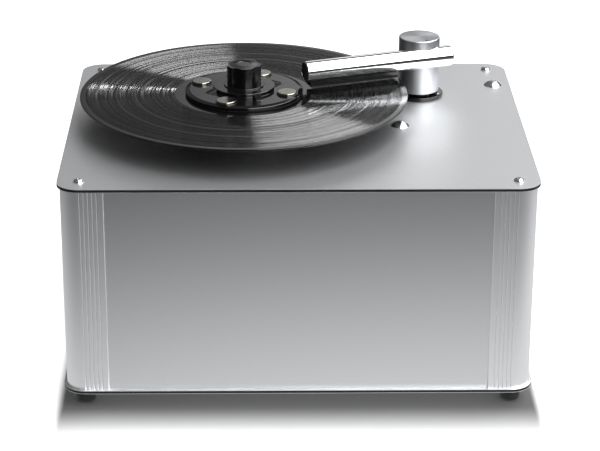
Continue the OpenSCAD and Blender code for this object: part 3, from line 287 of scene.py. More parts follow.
def bevelled(piece, width, segments=3, angle=40):
    """Breaks every sharp edge, as a deburred or moulded piece has it"""
    apply_modifier(piece, "BEVEL", {
        "width": width * MM, "segments": segments, "limit_method": "ANGLE",
        "angle_limit": math.radians(angle),
    })
    return smooth(piece)


def cut(piece, cutter):
    """Takes a cutter's shape out of a piece and deletes the cutter"""
    apply_modifier(piece, "BOOLEAN", {
        "operation": "DIFFERENCE", "solver": "EXACT", "object": cutter,
    })
    bpy.data.objects.remove(cutter)
    return piece


def joined(name, parts):
    """One named piece of all its parts"""
    deselect()
    for part in parts:
        part.select_set(True)
    bpy.context.view_layer.objects.active = parts[0]
    if len(parts) > 1:
        bpy.ops.object.join()
    parts[0].name = name
    parts[0].data.name = name
    return parts[0]


def copied(master, matrix):
    """A copy with its own mesh, placed by a matrix in millimetres"""
    piece = master.copy()
    piece.data = master.data.copy()
    bpy.context.scene.collection.objects.link(piece)
    return settle(piece, matrix)


def repeated(name, master, matrices):
    """One piece of like copies; the master goes"""
    pieces = [copied(master, matrix) for matrix in matrices]
    bpy.data.objects.remove(master)
    return joined(name, pieces)


def rounded(points, steps=4):
    """Corner points as (x, y) or (x, y, radius); a corner with a radius becomes an arc"""
    result = []
    for i, point in enumerate(points):
        here = Vector(point[:2])
        radius = point[2] if len(point) > 2 else 0
        if not radius:
            result.append(here)
            continue
        before = (Vector(points[i - 1][:2]) - here).normalized()
        after = (Vector(points[(i + 1) % len(points)][:2]) - here).normalized()
        half = before.angle(after) / 2
        centre = here + (before + after).normalized() * radius / math.sin(half)
        first = here + before * radius / math.tan(half) - centre
        last = here + after * radius / math.tan(half) - centre
        turn = first.angle_signed(last)
        for k in range(steps + 1):
            result.append(centre + Matrix.Rotation(-turn * k / steps, 2) @ first)
    return result


def traced(name, points):
    """A chain of edges through points in millimetres, extruded from one vertex"""
    deselect()
    bpy.ops.mesh.primitive_plane_add(size=MM, location=(0, 0, 0))
    piece = bpy.context.active_object
    piece.name = name
    bpy.ops.object.mode_set(mode="EDIT")
    bpy.ops.mesh.select_all(action="SELECT")
    bpy.ops.mesh.merge(type="CENTER")
    bpy.ops.transform.translate(value=Vector(points[0]) * MM)
    for here, there in zip(points, points[1:]):
        step = (Vector(there) - Vector(here)) * MM
        bpy.ops.mesh.extrude_region_move(TRANSFORM_OT_translate={"value": step})
    return piece


def turned(name, profile, sides=96, ring=False):
    """A piece turned about the z axis from (radius, height) points; a ring's profile is closed"""
    points = [(r, 0, z) for r, z in profile]
    if ring:
        points.append(points[0])
    piece = traced(name, points)
    bpy.ops.mesh.select_all(action="SELECT")
    bpy.ops.mesh.spin(steps=sides, angle=2 * math.pi, center=(0, 0, 0), axis=(0, 0, 1))
    bpy.ops.mesh.select_all(action="SELECT")
    bpy.ops.mesh.remove_doubles(threshold=0.002 * MM)
    bpy.ops.mesh.normals_make_consistent(inside=False)
    bpy.ops.object.mode_set(mode="OBJECT")
    return smooth(piece)


def extruded(name, outline, height):
    """A flat outline raised along z"""
    points = [(x, y, 0) for x, y in outline]
    piece = traced(name, points + points[:1])
    bpy.ops.mesh.select_all(action="SELECT")
    bpy.ops.mesh.remove_doubles(threshold=0.002 * MM)
    bpy.ops.mesh.edge_face_add()
    bpy.ops.mesh.extrude_region_move(TRANSFORM_OT_translate={"value": (0, 0, height * MM)})
    bpy.ops.mesh.select_all(action="SELECT")
    bpy.ops.mesh.normals_make_consistent(inside=False)
    bpy.ops.object.mode_set(mode="OBJECT")
    return piece


def block(name, low, high):
    """A box between two corners in millimetres"""
    low, high = Vector(low), Vector(high)
    deselect()
    bpy.ops.mesh.primitive_cube_add(size=1, location=(low + high) / 2 * MM)
    piece = bpy.context.active_object
    piece.name = name
    piece.scale = (high - low) * MM
    bpy.ops.object.transform_apply(location=True, rotation=True, scale=True)
    return piece


def rod(radius, low, high, at=(0, 0), sides=64):
    """A plain cylinder, used as a cutter"""
    deselect()
    bpy.ops.mesh.primitive_cylinder_add(
        vertices=sides, radius=radius * MM, depth=(high - low) * MM,
        location=Vector((at[0], at[1], (low + high) / 2)) * MM,
    )
    bpy.ops.object.transform_apply(location=True, rotation=True, scale=True)
    return bpy.context.active_object


def rounded_rectangle(width, depth, radius, steps=12):
    """An outline about the origin with its four corners rounded"""
    x, y = width / 2, depth / 2
    return rounded([(-x, -y, radius), (x, -y, radius), (x, y, radius), (-x, y, radius)], steps)


def paint(piece, material):
    """Gives a whole piece one material"""
    piece.data.materials.clear()
    piece.data.materials.append(material)
    return piece


def hand_in(piece, body, slot, *replaced):
    """A finished piece rides on its body and stands for CAD nodes; its slot is not used"""
    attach(piece, body)
    if replaced:
        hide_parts(*replaced)
    return piece


# Materials

def linear(code):
    """An sRGB hex colour as linear red, green, blue and alpha"""
    parts = [int(code[i:i + 2], 16) / 255 for i in (1, 3, 5)]
    return [p / 12.92 if p <= 0.04045 else ((p + 0.055) / 1.055) ** 2.4 for p in parts] + [1]


def add_node(tree, kind, inputs=None, **settings):
    """Adds a shader node, sets it, and fills or links its inputs"""
    node = tree.nodes.new("ShaderNode" + kind)
    for name, value in settings.items():
        setattr(node, name, value)
    for name, value in (inputs or {}).items():
        if isinstance(value, bpy.types.NodeSocket):
            tree.links.new(value, node.inputs[name])
        else:
            node.inputs[name].default_value = value
    return node


def finish(name, sockets):
    """A new material with its constant sockets set, its tree and its shader"""
    material = bpy.data.materials.new(name)
    material.use_nodes = True
    shader = material.node_tree.nodes["Principled BSDF"]
    for socket, value in sockets.items():
        shader.inputs[socket].default_value = value
    return material, material.node_tree, shader


def mottling(tree, low, high, inputs, **settings):
    """Noise mapped between two values; most of it lies from 0.3 to 0.7"""
    noise = add_node(tree, "TexNoise", inputs, **settings).outputs["Fac"]
    return add_node(tree, "MapRange", {
        "Value": noise, "From Min": 0.3, "From Max": 0.7, "To Min": low, "To Max": high,
    }).outputs["Result"]


def speckle(tree, size, low, high, stretch=(1, 1, 1)):
    """Mottling of a size in millimetres"""
    place = add_node(tree, "TexCoord").outputs["Object"]
    drawn = add_node(tree, "Mapping", {"Vector": place, "Scale": stretch}).outputs["Vector"]
    return mottling(tree, low, high, {"Vector": drawn, "Scale": 1 / (size * MM), "Detail": 3})


def coloured(tree, shader, pattern, dark, light):
    """The shader's colour runs from dark to light as a pattern does"""
    mixed = add_node(tree, "Mix", {
        0: pattern, 6: linear(dark), 7: linear(light),
    }, data_type="RGBA")
    tree.links.new(mixed.outputs[2], shader.inputs["Base Color"])


def textured(name, sockets, dark, light, size, rough, grain, depth, stretch=(1, 1, 1)):
    """A finish with mottled colour, roughness that varies and a fine relief, in millimetres"""
    material, tree, shader = finish(name, sockets)
    coloured(tree, shader, speckle(tree, size, 0, 1, stretch), dark, light)
    tree.links.new(speckle(tree, size * 1.7, *rough, stretch), shader.inputs["Roughness"])
    relief = speckle(tree, grain, 0, 1, stretch)
    raised = add_node(tree, "Bump", {"Height": relief, "Distance": depth * MM})
    tree.links.new(raised.outputs["Normal"], shader.inputs["Normal"])
    return material


def metal(name, dark, light, size, rough, grain=0.4, depth=0.004, stretch=(1, 1, 1), sockets=None):
    """A textured finish that is metal all through"""
    settings = {"Metallic": 1, **(sockets or {})}
    return textured(name, settings, dark, light, size, rough, grain, depth, stretch)


def out_from(tree, centre):
    """The level way from an upright axis to a place on the piece, in metres"""
    place = add_node(tree, "TexCoord").outputs["Object"]
    return add_node(tree, "Mapping", {
        "Vector": place, "Location": (-centre.x * MM, -centre.y * MM, 0), "Scale": (1, 1, 0),
    }).outputs["Vector"]


def radius_about(tree, centre):
    """Distance in millimetres from an upright axis through a centre"""
    length = add_node(tree, "VectorMath", {0: out_from(tree, centre)}, operation="LENGTH")
    return add_node(tree, "Math", {
        0: length.outputs["Value"], 1: 1 / MM,
    }, operation="MULTIPLY").outputs["Value"]


def rings(tree, radius, pitch, low, high, detail=2):
    """Mottling by the radius alone, as turning marks and grooves have it"""
    inputs = {"W": radius, "Scale": 1 / pitch, "Detail": detail}
    return mottling(tree, low, high, inputs, noise_dimensions="1D")


def anodised_sheet(name, dark, light, rough):
    """Satin anodised aluminium: an even grain that blurs what it mirrors. The real etch is finer
    than 0.1 mm, and is drawn coarser so that the surface isn't perfectly plain at this size"""
    return metal(name, dark, light, 0.9, rough, grain=0.7, depth=0.0003)


def plate_skin():
    """Lacquered aluminium skin of a composite plate: a broad satin sheen under a faint gloss"""
    lacquer = {"Coat Weight": 0.3, "Coat Roughness": 0.2}
    return metal("composite_plate_skin", "#e2e3e5", "#e8e9eb", 1.2, (0.5, 0.55),
                 grain=1.1, depth=0.0003, sockets=lacquer)


def plate_core():
    """Black polyethylene core of a composite plate: dull, seen as a band along the edge"""
    return textured("polyethylene_core", {}, "#050506", "#0f0f10", 2, (0.45, 0.6), 0.6, 0.01)


def vinyl_record():
    """Pressed vinyl: groove walls lean to and from the spindle, which draws light into wedges, and
    the coat stands for the flat lands between them, which mirror the arm. Single grooves have
    about their real pitch. The rings of 0.8 to 2.8 mm are drawn coarser than real passages, so
    that bands of louder and softer music show in a picture of the whole machine"""
    material, tree, shader = finish("pressed_vinyl", {"IOR": 1.8, "Coat Roughness": 0.07})
    radius = radius_about(tree, spindle)
    coloured(tree, shader, rings(tree, radius, 0.8, 0, 1, 3), "#060607", "#0e0e10")
    tree.links.new(rings(tree, radius, 1.7, 0.1, 0.16), shader.inputs["Roughness"])
    tree.links.new(rings(tree, radius, 2.4, 0.02, 0.32, 3), shader.inputs["Coat Weight"])
    outward = add_node(tree, "VectorMath", {0: out_from(tree, spindle)}, operation="NORMALIZE")
    turned_out = add_node(
        tree, "VectorTransform", {"Vector": outward.outputs["Vector"]},
        vector_type="VECTOR", convert_from="OBJECT", convert_to="WORLD",
    ).outputs["Vector"]
    # Over its middle the wave leans a wall outward, under it inward, and the bias favours one
    wave = add_node(tree, "TexNoise", {
        "W": radius, "Scale": 1 / groove_pitch, "Detail": 0,
    }, noise_dimensions="1D").outputs["Fac"]
    bias = rings(tree, radius, 2, -0.07, 0.07, 3)
    biased = add_node(tree, "Math", {0: wave, 1: bias}, operation="ADD").outputs["Value"]
    outer, inner = [
        add_node(tree, "MapRange", {
            "Value": biased, "From Min": 0.5, "From Max": full_lean,
        }).outputs["Result"] for full_lean in (0.515, 0.485)
    ]
    wall = add_node(tree, "Math", {0: outer, 1: inner}, operation="SUBTRACT").outputs["Value"]
    loudness = rings(tree, radius, 2.8, 0.38, 0.76, 3)
    lean = add_node(tree, "Math", {0: wall, 1: loudness}, operation="MULTIPLY")
    leaning = add_node(tree, "VectorMath", {
        0: turned_out, "Scale": lean.outputs["Value"],
    }, operation="SCALE").outputs["Vector"]
    face = add_node(tree, "NewGeometry").outputs["Normal"]
    groove = add_node(tree, "VectorMath", {0: face, 1: leaning}, operation="ADD")
    walls = add_node(tree, "VectorMath", {0: groove.outputs["Vector"]}, operation="NORMALIZE")
    tree.links.new(walls.outputs["Vector"], shader.inputs["Normal"])
    return material


def vinyl_land():
    """Ungrooved vinyl of the rim, the track gaps and the run-out: smooth and mirror-like"""
    return textured("smooth_vinyl", {"IOR": 1.5}, "#0c0c0e", "#141416", 3, (0.1, 0.16), 1.5, 0.001)


def moulded_black(name, dark, light, rough):
    """Moulded black plastic with the fine texture of its mould"""
    return textured(name, {"IOR": 1.5}, dark, light, 2.5, rough, 0.8, 0.001)


def turned_aluminium():
    """Aluminium turned on a lathe: rings round the axis draw out its highlights. Real feed marks
    are about 0.1 mm apart, and these are drawn coarser so that they show on the cap"""
    material, tree, shader = finish("turned_aluminium", {"Metallic": 1, "Anisotropic": 0.65})
    radius = radius_about(tree, tower)
    marks = rings(tree, radius, 0.35, 0, 1, 3)
    coloured(tree, shader, marks, "#b6b8bb", "#d0d1d4")
    tree.links.new(rings(tree, radius, 0.8, 0.32, 0.4), shader.inputs["Roughness"])
    tangent = add_node(tree, "Tangent", direction_type="RADIAL", axis="Z")
    tree.links.new(tangent.outputs["Tangent"], shader.inputs["Tangent"])
    return material


# Each line gives colours, the size of the mottling in millimetres and a range of roughness; the
# mottling is drawn coarser than real where it would be lost in a picture of the whole machine
finishes = {
    # Extruded and anodised: the palest metal, an even satin
    "post": anodised_sheet("anodised_extrusion", "#eff0f2", "#f2f3f5", (0.34, 0.37)),
    # Rolled and anodised: a shade darker and smoother, so it mirrors the floor as a soft fade
    "panel": anodised_sheet("anodised_sheet", "#dee0e2", "#e2e4e6", (0.3, 0.33)),
    # Bright zinc plate: small hard glints
    "screw": metal("zinc_plated_screw", "#cfd0d2", "#e3e4e5", 2, (0.2, 0.27), depth=0.001),
    # Thick paint over steel: grey, with wide dull highlights
    "motor": metal("painted_motor_can", "#8f9091", "#a2a3a4", 6, (0.35, 0.45)),
    # Die-cast zinc: dark grey, coarse and dull
    "cast": metal("die_cast_zinc", "#8a8b8d", "#9c9d9f", 3, (0.45, 0.6), grain=1.2, depth=0.03),
    # Galvanised sheet: large pale flakes of unequal shine
    "bracket": metal("galvanised_bracket", "#a5a7a8", "#c0c2c3", 9, (0.3, 0.45)),
    # Ground steel: nearly a mirror, with fine marks round the shaft
    "ground": metal("ground_steel_shaft", "#c6c7c9", "#dcdddf", 0.5, (0.12, 0.2),
                    stretch=(1, 1, 12)),
    # Turned aluminium out of sight: clean and bright
    "platter": metal("turned_platter", "#c9cacc", "#dadbdd", 2, (0.25, 0.35)),
    # Sintered bronze: brown, porous and dull
    "bronze": metal("sintered_bronze", "#a8875a", "#bd9c6b", 1.5, (0.35, 0.5),
                    grain=0.5, depth=0.02),
    # Machined brass: warm and bright
    "brass": metal("collet_brass", "#c9a765", "#d8b978", 1.5, (0.2, 0.3)),
    # Nickel plate: a warm grey that stands out from the black clamp
    "nickel": metal("nickel_plated_weight", "#96938b", "#a9a69e", 3, (0.2, 0.28), depth=0.002),
    # Polished chrome: a mirror, with a faint ripple that bends the lines it shows
    "chrome": metal("polished_chrome", "#eef0f2", "#f8f9fa", 14, (0.02, 0.045),
                    grain=6, depth=0.0004),
    # Smooth moulding: near black, with clear glints along ribs and rims
    "clamp": moulded_black("moulded_clamp_plastic", "#0f0f11", "#131315", (0.13, 0.17)),
    # The knob's moulding: darker and a little duller, so that it stands off from the clamp
    "knob": moulded_black("moulded_knob_plastic", "#0c0c0e", "#0f0f11", (0.17, 0.19)),
    # A polished mould's plastic: black with sharp reflections
    "gloss": moulded_black("gloss_black_plastic", "#0b0b0c", "#111112", (0.08, 0.14)),
    # Moulded rubber: matt black
    "rubber": textured("foot_rubber", {"IOR": 1.5}, "#0d0d0e", "#1a1a1b",
                       2, (0.55, 0.75), 0.6, 0.02),
    # Mat rubber: duller still and a little grey
    "mat": textured("ribbed_mat_rubber", {}, "#131314", "#1e1e1f", 3, (0.65, 0.8), 0.7, 0.03),
    # Milky polyethylene: pale, with faint clouds
    "tank": textured("tank_polyethylene", {}, "#cfd1cd", "#dcdeda", 20, (0.35, 0.5), 2, 0.02),
    # Glass-filled nylon: charcoal, with dull flow marks
    "nylon": textured("filled_nylon", {}, "#333336", "#404043", 4, (0.45, 0.6), 1, 0.02),
    # Hose rubber: dull black with a coarse skin
    "hose": textured("hose_rubber", {}, "#1c1c1e", "#28282a", 5, (0.5, 0.65), 1.2, 0.03),
    # Varnished epoxy board: green under a thin gloss
    "board": textured("glass_epoxy_board", {"Coat Weight": 0.4}, "#1f5132", "#2a6340",
                      3, (0.3, 0.4), 1, 0.01),
    # Woven sleeve of a loom: dull black with a raised weave
    "loom": textured("loom_sleeve", {}, "#151516", "#232324", 1, (0.55, 0.7), 0.8, 0.05),
    # Uncoated label paper: cream and matt
    "paper": textured("label_paper", {}, "#c8c0a8", "#d4cdb8", 2, (0.7, 0.85), 0.5, 0.01),
    "skin": plate_skin(),
    "core": plate_core(),
    "grooves": vinyl_record(),
    "lands": vinyl_land(),
    "turned": turned_aluminium(),
    # Pressed wool felt: a soft black nap with no shine
    "felt": textured("wool_felt", {"Sheen Weight": 0.3}, "#0a0a0b", "#1b1b1d",
                     0.8, (0.9, 1.0), 0.5, 0.12),
}

cad_finishes = {
    "post": ["post_front_left", "post_front_right", "post_rear_left", "post_rear_right"],
    "panel": ["front_panel", "rear_panel", "left_panel", "right_panel"],
    "screw": ["bracket_screws", "board_spacers", "shaft_clip", "arm_grub_screw"],
    "motor": ["gear_motor", "fan_motor"],
    "cast": ["gearbox", "swivel_housing"],
    "bracket": ["motor_bracket"],
    "ground": ["output_shaft", "spindle", "tower_shaft"],
    "platter": ["platter", "shaft_coupling", "fan_wheel"],
    "bronze": ["platter_bearing", "swivel_sleeve"],
    "brass": ["clamp_collet"],
    "mat": ["platter_mat", "clamp_seal", "tank_gasket"],
    "tank": ["waste_tank"],
    "nylon": ["tank_lid", "fan_case"],
    "hose": ["suction_hose", "drain_hose"],
    "board": ["control_board"],
    "loom": ["wiring"],
    "paper": ["record_labels"],
}
for finish_name, names in cad_finishes.items():
    for name in names:
        for slot in nodes[name].material_slots:
            slot.material = finishes[finish_name]


# Case

def corner_places(height):
    """The four corner screws' places, at a height"""
    x, y = case_w / 2 - corner_inset, case_d / 2 - corner_inset
    return [moved(sx * x, sy * y, height) for sx in (-1, 1) for sy in (-1, 1)]


def drilled(layer, holes):
    """Round holes through a layer, given as (x, y, radius)"""
    for x, y, radius in holes:
        cut(layer, rod(radius, drill_from, drill_to, (x, y)))
    return layer


def composite_plate(name, node, holes):
    """Two bright skins on a black core that lies a little back from the edge"""
    low, high = low_mm(node).z, high_mm(node).z
    layers = []
    for part, z0, z1, inset, material in (
        ("low_skin", low, low + skin_t, 0, "skin"),
        ("core", low + skin_t, high - skin_t, core_inset, "core"),
        ("top_skin", high - skin_t, high, 0, "skin"),
    ):
        outline = rounded_rectangle(case_w - 2 * inset, case_d - 2 * inset, corner_r - inset)
        layer = extruded(f"{name}_{part}", outline, z1 - z0)
        settle(layer, moved(0, 0, z0))
        drilled(layer, holes)
        bevelled(layer, 0.09, 2)
        layers.append(paint(layer, finishes[material]))
    return hand_in(joined(name, layers), "root", "composite_plate", node)


corner_holes = [(m.translation.x, m.translation.y, screw_r + 0.1) for m in corner_places(0)]
shaft_holes = [(spindle.x, spindle.y, spindle_hole_r), (tower.x, tower.y, tower_hole_r)]
bolt_holes = [(x, y, bolt_r + 0.05) for x, y in bolts_at]
pillar_holes = [
    (spindle.x + sx * pillar_at, spindle.y + sy * pillar_at, pillar_hole_r)
    for sx in (-1, 1) for sy in (-1, 1)
]
deck_holes = corner_holes + shaft_holes + bolt_holes + pillar_holes
composite_plate("deck_sandwich", "deck_plate", deck_holes)
composite_plate("base_sandwich", "base_plate", corner_holes)


def domed_screw():
    """A pan-head screw with a cross recess, its head's foot at z 0"""
    dome = [(screw_head_r * math.cos(a), screw_head_h * math.sin(a) ** 0.8)
            for a in (math.pi / 2 * i / 10 for i in range(11))]
    shank = [(0, -screw_len), (screw_r, -screw_len), (screw_r, 0)]
    screw = turned("screw", shank + dome[:-1] + [(0, screw_head_h)], 48)
    for angle in (45, 135):
        slot = block("slot", (-recess_reach, -recess_half_w, recess_floor),
                     (recess_reach, recess_half_w, 4))
        cut(screw, settle(slot, turned_by(angle)))
    return smooth(paint(screw, finishes["screw"]))


upright = corner_places(deck_top)
hanging = [m @ turned_by(180, "X") for m in corner_places(foot_recess)]
screws = repeated("cross_recess_screws", domed_screw(), upright + hanging)
hand_in(screws, "root", "screw_steel", "corner_screws")


def rubber_foot():
    """A moulded foot with a rounded lower edge and a recess for its screw"""
    recess_r = screw_head_r + 0.6
    profile = rounded([
        (recess_r, 0, 0.6), (foot_r, 0, foot_round), (foot_r, foot_h, 0.4),
        (screw_r + 0.1, foot_h), (screw_r + 0.1, foot_recess), (recess_r, foot_recess),
    ], 6)
    return paint(turned("foot", profile, 64, ring=True), finishes["rubber"])


feet = repeated("moulded_feet", rubber_foot(), corner_places(0))
hand_in(feet, "root", "foot_rubber", "feet")


def deck_bolt():
    """A bolt with a low polished dome on the deck, through the tank's ear to its nut"""
    ball_r = (bolt_dome_r ** 2 + bolt_dome_h ** 2) / (2 * bolt_dome_h)
    spread = math.asin(bolt_dome_r / ball_r)
    dome = [(ball_r * math.sin(a), bolt_dome_h - ball_r + ball_r * math.cos(a))
            for a in (spread * (1 - i / 14) for i in range(15))]
    nut_top = low_mm("tank_bolts").z - deck_top + nut_h
    shank_end = nut_top - nut_h + 0.5
    profile = [(0, shank_end), (bolt_r, shank_end), (bolt_r, 0), (bolt_dome_r, 0)] + dome[:-1]
    bolt = turned("bolt", profile + [(0, bolt_dome_h)], 64)
    nut = extruded("nut", hexagon(nut_r), nut_h)
    settle(nut, moved(0, 0, nut_top - nut_h))
    bevelled(nut, 0.5)
    return paint(joined("bolt", [bolt, nut]), finishes["screw"])


bolts = repeated("domed_bolts", deck_bolt(), [moved(x, y, deck_top) for x, y in bolts_at])
hand_in(bolts, "root", "screw_steel", "tank_bolts")


# Record and clamp

at_record = moved(*spindle)
at_clamp = moved(spindle.x, spindle.y, clamp_z)
at_knob = moved(spindle.x, spindle.y, knob_low.z)


def record_side(sign):
    """One face of the record from rim to label: bead, grooves, track gaps and run-out"""
    bead, web, label = rim_t / 2, groove_t / 2, label_zone_t / 2
    sunk = web - gap_sunk
    points = [
        (record_r - rim_round, bead),
        (record_r - rim_w + bead_slope, bead), (record_r - rim_w, web),
    ]
    for r in track_gaps:
        points += [
            (r + gap_w / 2 + gap_slope, web), (r + gap_w / 2, sunk),
            (r - gap_w / 2, sunk), (r - gap_w / 2 - gap_slope, web),
        ]
    points += [
        (groove_end_r, web), (groove_end_r - gap_slope, sunk),
        (label_r + label_slope, sunk), (label_r, label),
    ]
    return [(r, sign * z) for r, z in points]


def pressed_record():
    """The record in one piece, with its grooved zones apart from its smooth vinyl"""
    rim = [
        (record_r - rim_round + rim_round * math.cos(a),
         math.copysign(rim_t / 2 - rim_round, a) + rim_round * math.sin(a))
        for a in (math.pi / 2 * (-1 + 2 * i / 9) for i in range(10))
    ]
    top = record_side(1)
    low = record_side(-1)
    hole = [(record_hole_r, label_zone_t / 2), (record_hole_r, -label_zone_t / 2)]
    record = turned("record", top + hole + low[::-1] + rim, 256, ring=True)
    for surface in ("grooves", "lands"):
        record.data.materials.append(finishes[surface])
    for face in record.data.polygons:
        r = Vector(face.center[:2]).length / MM
        grooved = groove_end_r < r < record_r - rim_w and abs(face.normal.z) > 0.9
        in_gap = any(abs(r - gap) < gap_w / 2 for gap in track_gaps)
        face.material_index = 0 if grooved and not in_gap else 1
    return settle(record, at_record)


hand_in(pressed_record(), "platter", "record_vinyl", "record")


def clamp_rib():
    """A buttress that slopes from the hub down to the disc"""
    foot, back = hub_r + rib_reach, hub_r - 4
    crest = hub_h - clamp_top - 0.2
    rib = extruded("rib", [
        (back, -0.5), (foot, -0.5), (foot, 0.05), (hub_r, crest), (back, crest),
    ], rib_w)
    settle(rib, moved(0, rib_w / 2, clamp_top) @ turned_by(90, "X"))
    return bevelled(rib, 0.6, 3)


def clamp_body():
    """The moulded disc: bevelled edge, raised hub and step, ribs and raised seats"""
    profile = rounded([
        (collet_r + 0.05, 0), (clamp_r, 0, 0.5), (clamp_r, 2.7, 0.6), (clamp_r - 4, clamp_top, 1),
        (hub_r, clamp_top, 0.3), (hub_r, hub_h, 0.6), (step_r, hub_h, 0.2),
        (step_r, hub_h + step_h, 0.4), (collet_r + 0.05, hub_h + step_h),
    ])
    parts = [turned("disc", profile, 192, ring=True)]
    parts.append(repeated("ribs", clamp_rib(), [
        turned_by(rib_angle + 360 / rib_n * i) for i in range(rib_n)
    ]))
    seat = turned("seat", rounded([
        (weight_r + 0.05, -0.2), (weight_r + seat_w, -0.2), (weight_r + seat_w, seat_rise, 0.25),
        (weight_r + 0.05, seat_rise, 0.15),
    ]), 64, ring=True)
    parts.append(repeated("seats", seat, weight_places(clamp_top)))
    body = joined("clamp_body", parts)
    return settle(paint(body, finishes["clamp"]), at_clamp)


def weight_places(height):
    """The four weights' places on the clamp, at a height"""
    return [
        turned_by(weight_angle + 360 / weight_n * i) @ moved(weight_pitch_r, 0, height)
        for i in range(weight_n)
    ]


hand_in(clamp_body(), "clamp", "clamp_plastic", "clamp_disc")

weight = turned("weight", rounded([
    (0, -weight_deep), (weight_r, -weight_deep, 0.2),
    (weight_r, weight_rise, 0.7), (0, weight_rise),
], 5), 72)
weights = repeated("plated_weights", paint(weight, finishes["nickel"]), weight_places(clamp_top))
hand_in(settle(weights, at_clamp), "clamp", "weight_nickel", "clamp_weights")


def fluted_knob():
    """A knob with five shallow flutes, a soft top edge and a dished button in its top"""
    height = knob_high.z - knob_low.z
    shoulder = height - knob_crown
    bore_r, bore_h = collet_r + 0.06, high_mm("clamp_collet").z - knob_low.z + 1
    knob = turned("knob", [
        (bore_r, knob_gap), (knob_r, knob_gap), (knob_r, shoulder), (knob_r - knob_crown, shoulder),
        (0, shoulder), (0, bore_h), (bore_r, bore_h),
    ], 180, ring=True)
    for i in range(flute_n):
        at_flute = on_circle(knob_r + flute_r - flute_depth, flute_angle + 360 / flute_n * i)
        cut(knob, rod(flute_r, -1, height + 1, at_flute, 120))
    bevelled(knob, 0.7, 4, 30)
    waist = knob_r - flute_depth
    crown = turned("crown", rounded([
        (0, height - 1), (waist - 0.6, height - 1), (waist - 0.8, height - 0.75, 0.3),
        (dish_r + 0.6, height - 0.1, 0.6), (dish_r, height - 0.5, 0.2), (0, height - 0.4),
    ]), 96)
    return settle(paint(joined("fluted_knob", [knob, crown]), finishes["knob"]), at_knob)


hand_in(fluted_knob(), "knob", "clamp_plastic", "clamp_knob")


# Tower and arm

lying = turned_by(90, "Y")
along_arm = at_arm @ moved(0, -arm_offset, arm_z) @ lying


def column_and_cap():
    """The turned head: open below round shaft and spring, cut across for the tube"""
    profile = rounded([
        (spring_room_r, head_low), (tower_r, head_low, 0.5), (tower_r, head_high, 1.1),
        (0, head_high), (0, arm_z + 6), (shaft_r - shaft_wall, arm_z + 6),
        (shaft_r - shaft_wall, arm_z - arm_r - 1), (shaft_r, arm_z - arm_r - 1),
        (shaft_r, deck_top + spring_top), (spring_room_r, deck_top + spring_top),
    ])
    head = settle(turned("head", profile, 160, ring=True), at_tower)
    bore = rod(arm_r + 0.05, -60, 60, sides=128)
    cut(head, settle(bore, along_arm))
    hole = rod(grub_r + 0.05, arm_z, head_high + 5)
    cut(head, settle(hole, at_arm @ moved(0, -arm_offset, 0)))
    return bevelled(paint(head, finishes["turned"]), 0.25, 2, 35)


hand_in(column_and_cap(), "arm", "turned_aluminium", "tower_head")


def coil_spring():
    """A round-wire spring between the sleeve and the head, which the arm presses together as it
    goes down; the mesh keeps one length
    """
    steps = 24 * spring_turns
    first_z = deck_top + spring_low + spring_wire_r
    rise = spring_top - spring_low - 2 * spring_wire_r
    traced("coil_spring", [
        (*on_circle(spring_r, 15 * i), first_z + rise * i / steps) for i in range(steps + 1)
    ])
    bpy.ops.object.mode_set(mode="OBJECT")
    bpy.ops.object.convert(target="CURVE")
    wire = bpy.context.active_object.data
    wire.bevel_depth = spring_wire_r * MM
    wire.bevel_resolution = 3
    wire.use_fill_caps = True
    bpy.ops.object.convert(target="MESH")
    return settle(smooth(paint(bpy.context.active_object, finishes["screw"])), at_arm)


spring = hand_in(coil_spring(), "arm", "screw_steel", "lift_spring")
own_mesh(spring)


def suction_tube():
    """The polished tube, rolled over at both ends and slotted below"""
    inner = arm_r - arm_wall
    profile = rounded([
        (inner, -arm_reach, 0.25), (arm_r, -arm_reach, 1.2),
        (arm_r, arm_tail, 1.2), (inner, arm_tail, 0.25),
    ], 6)
    tube = settle(turned("tube", profile, 128, ring=True), along_arm)
    slot_start = slot_lead - arm_reach
    slot = block("slot", (slot_start, -arm_offset - slot_w / 2, arm_z - arm_r - 5),
                 (slot_start + slot_len, -arm_offset + slot_w / 2, arm_z - 1))
    cut(tube, settle(slot, at_arm))
    return smooth(paint(tube, finishes["chrome"]))


hand_in(suction_tube(), "arm", "tube_chrome", "arm_tube")


def end_plugs():
    """Moulded plugs, a little below each rim, with a shallow dished face"""
    plug_r = arm_r - arm_wall - 0.05
    plug = turned("plug", rounded([
        (0, 0), (plug_r, 0, 0.2), (plug_r, 5.6, 0.7), (plug_r - 2, 5.6, 0.5),
        (plug_r - 2.8, 5.1, 0.4), (0, 5.1),
    ]), 72)
    paint(plug, finishes["gloss"])
    tip = moved(0, 0, -arm_reach + 6) @ turned_by(180, "X")
    return repeated("tube_plugs", plug, [
        along_arm @ tip, along_arm @ moved(0, 0, arm_tail - 6),
    ])


hand_in(end_plugs(), "arm", "black_plastic", "arm_plugs")


def nozzle_saddle():
    """A moulded bar round the suction slot, shaped to the tube"""
    bar = block("nozzle_saddle", (bar_start, -arm_offset - bar_w / 2, bar_under),
                (bar_end, -arm_offset + bar_w / 2, bar_under + bar_t + bar_wrap))
    settle(bar, at_arm)
    cut(bar, settle(rod(arm_r + 0.05, bar_start - 5, bar_end + 5, sides=128), along_arm))
    slot = block("slot", (bar_start + bar_over, -arm_offset - slot_w / 2, bar_under - 1),
                 (bar_end - bar_over, -arm_offset + slot_w / 2, bar_under + 9))
    cut(bar, settle(slot, at_arm))
    return bevelled(paint(bar, finishes["gloss"]), 0.3, 2)


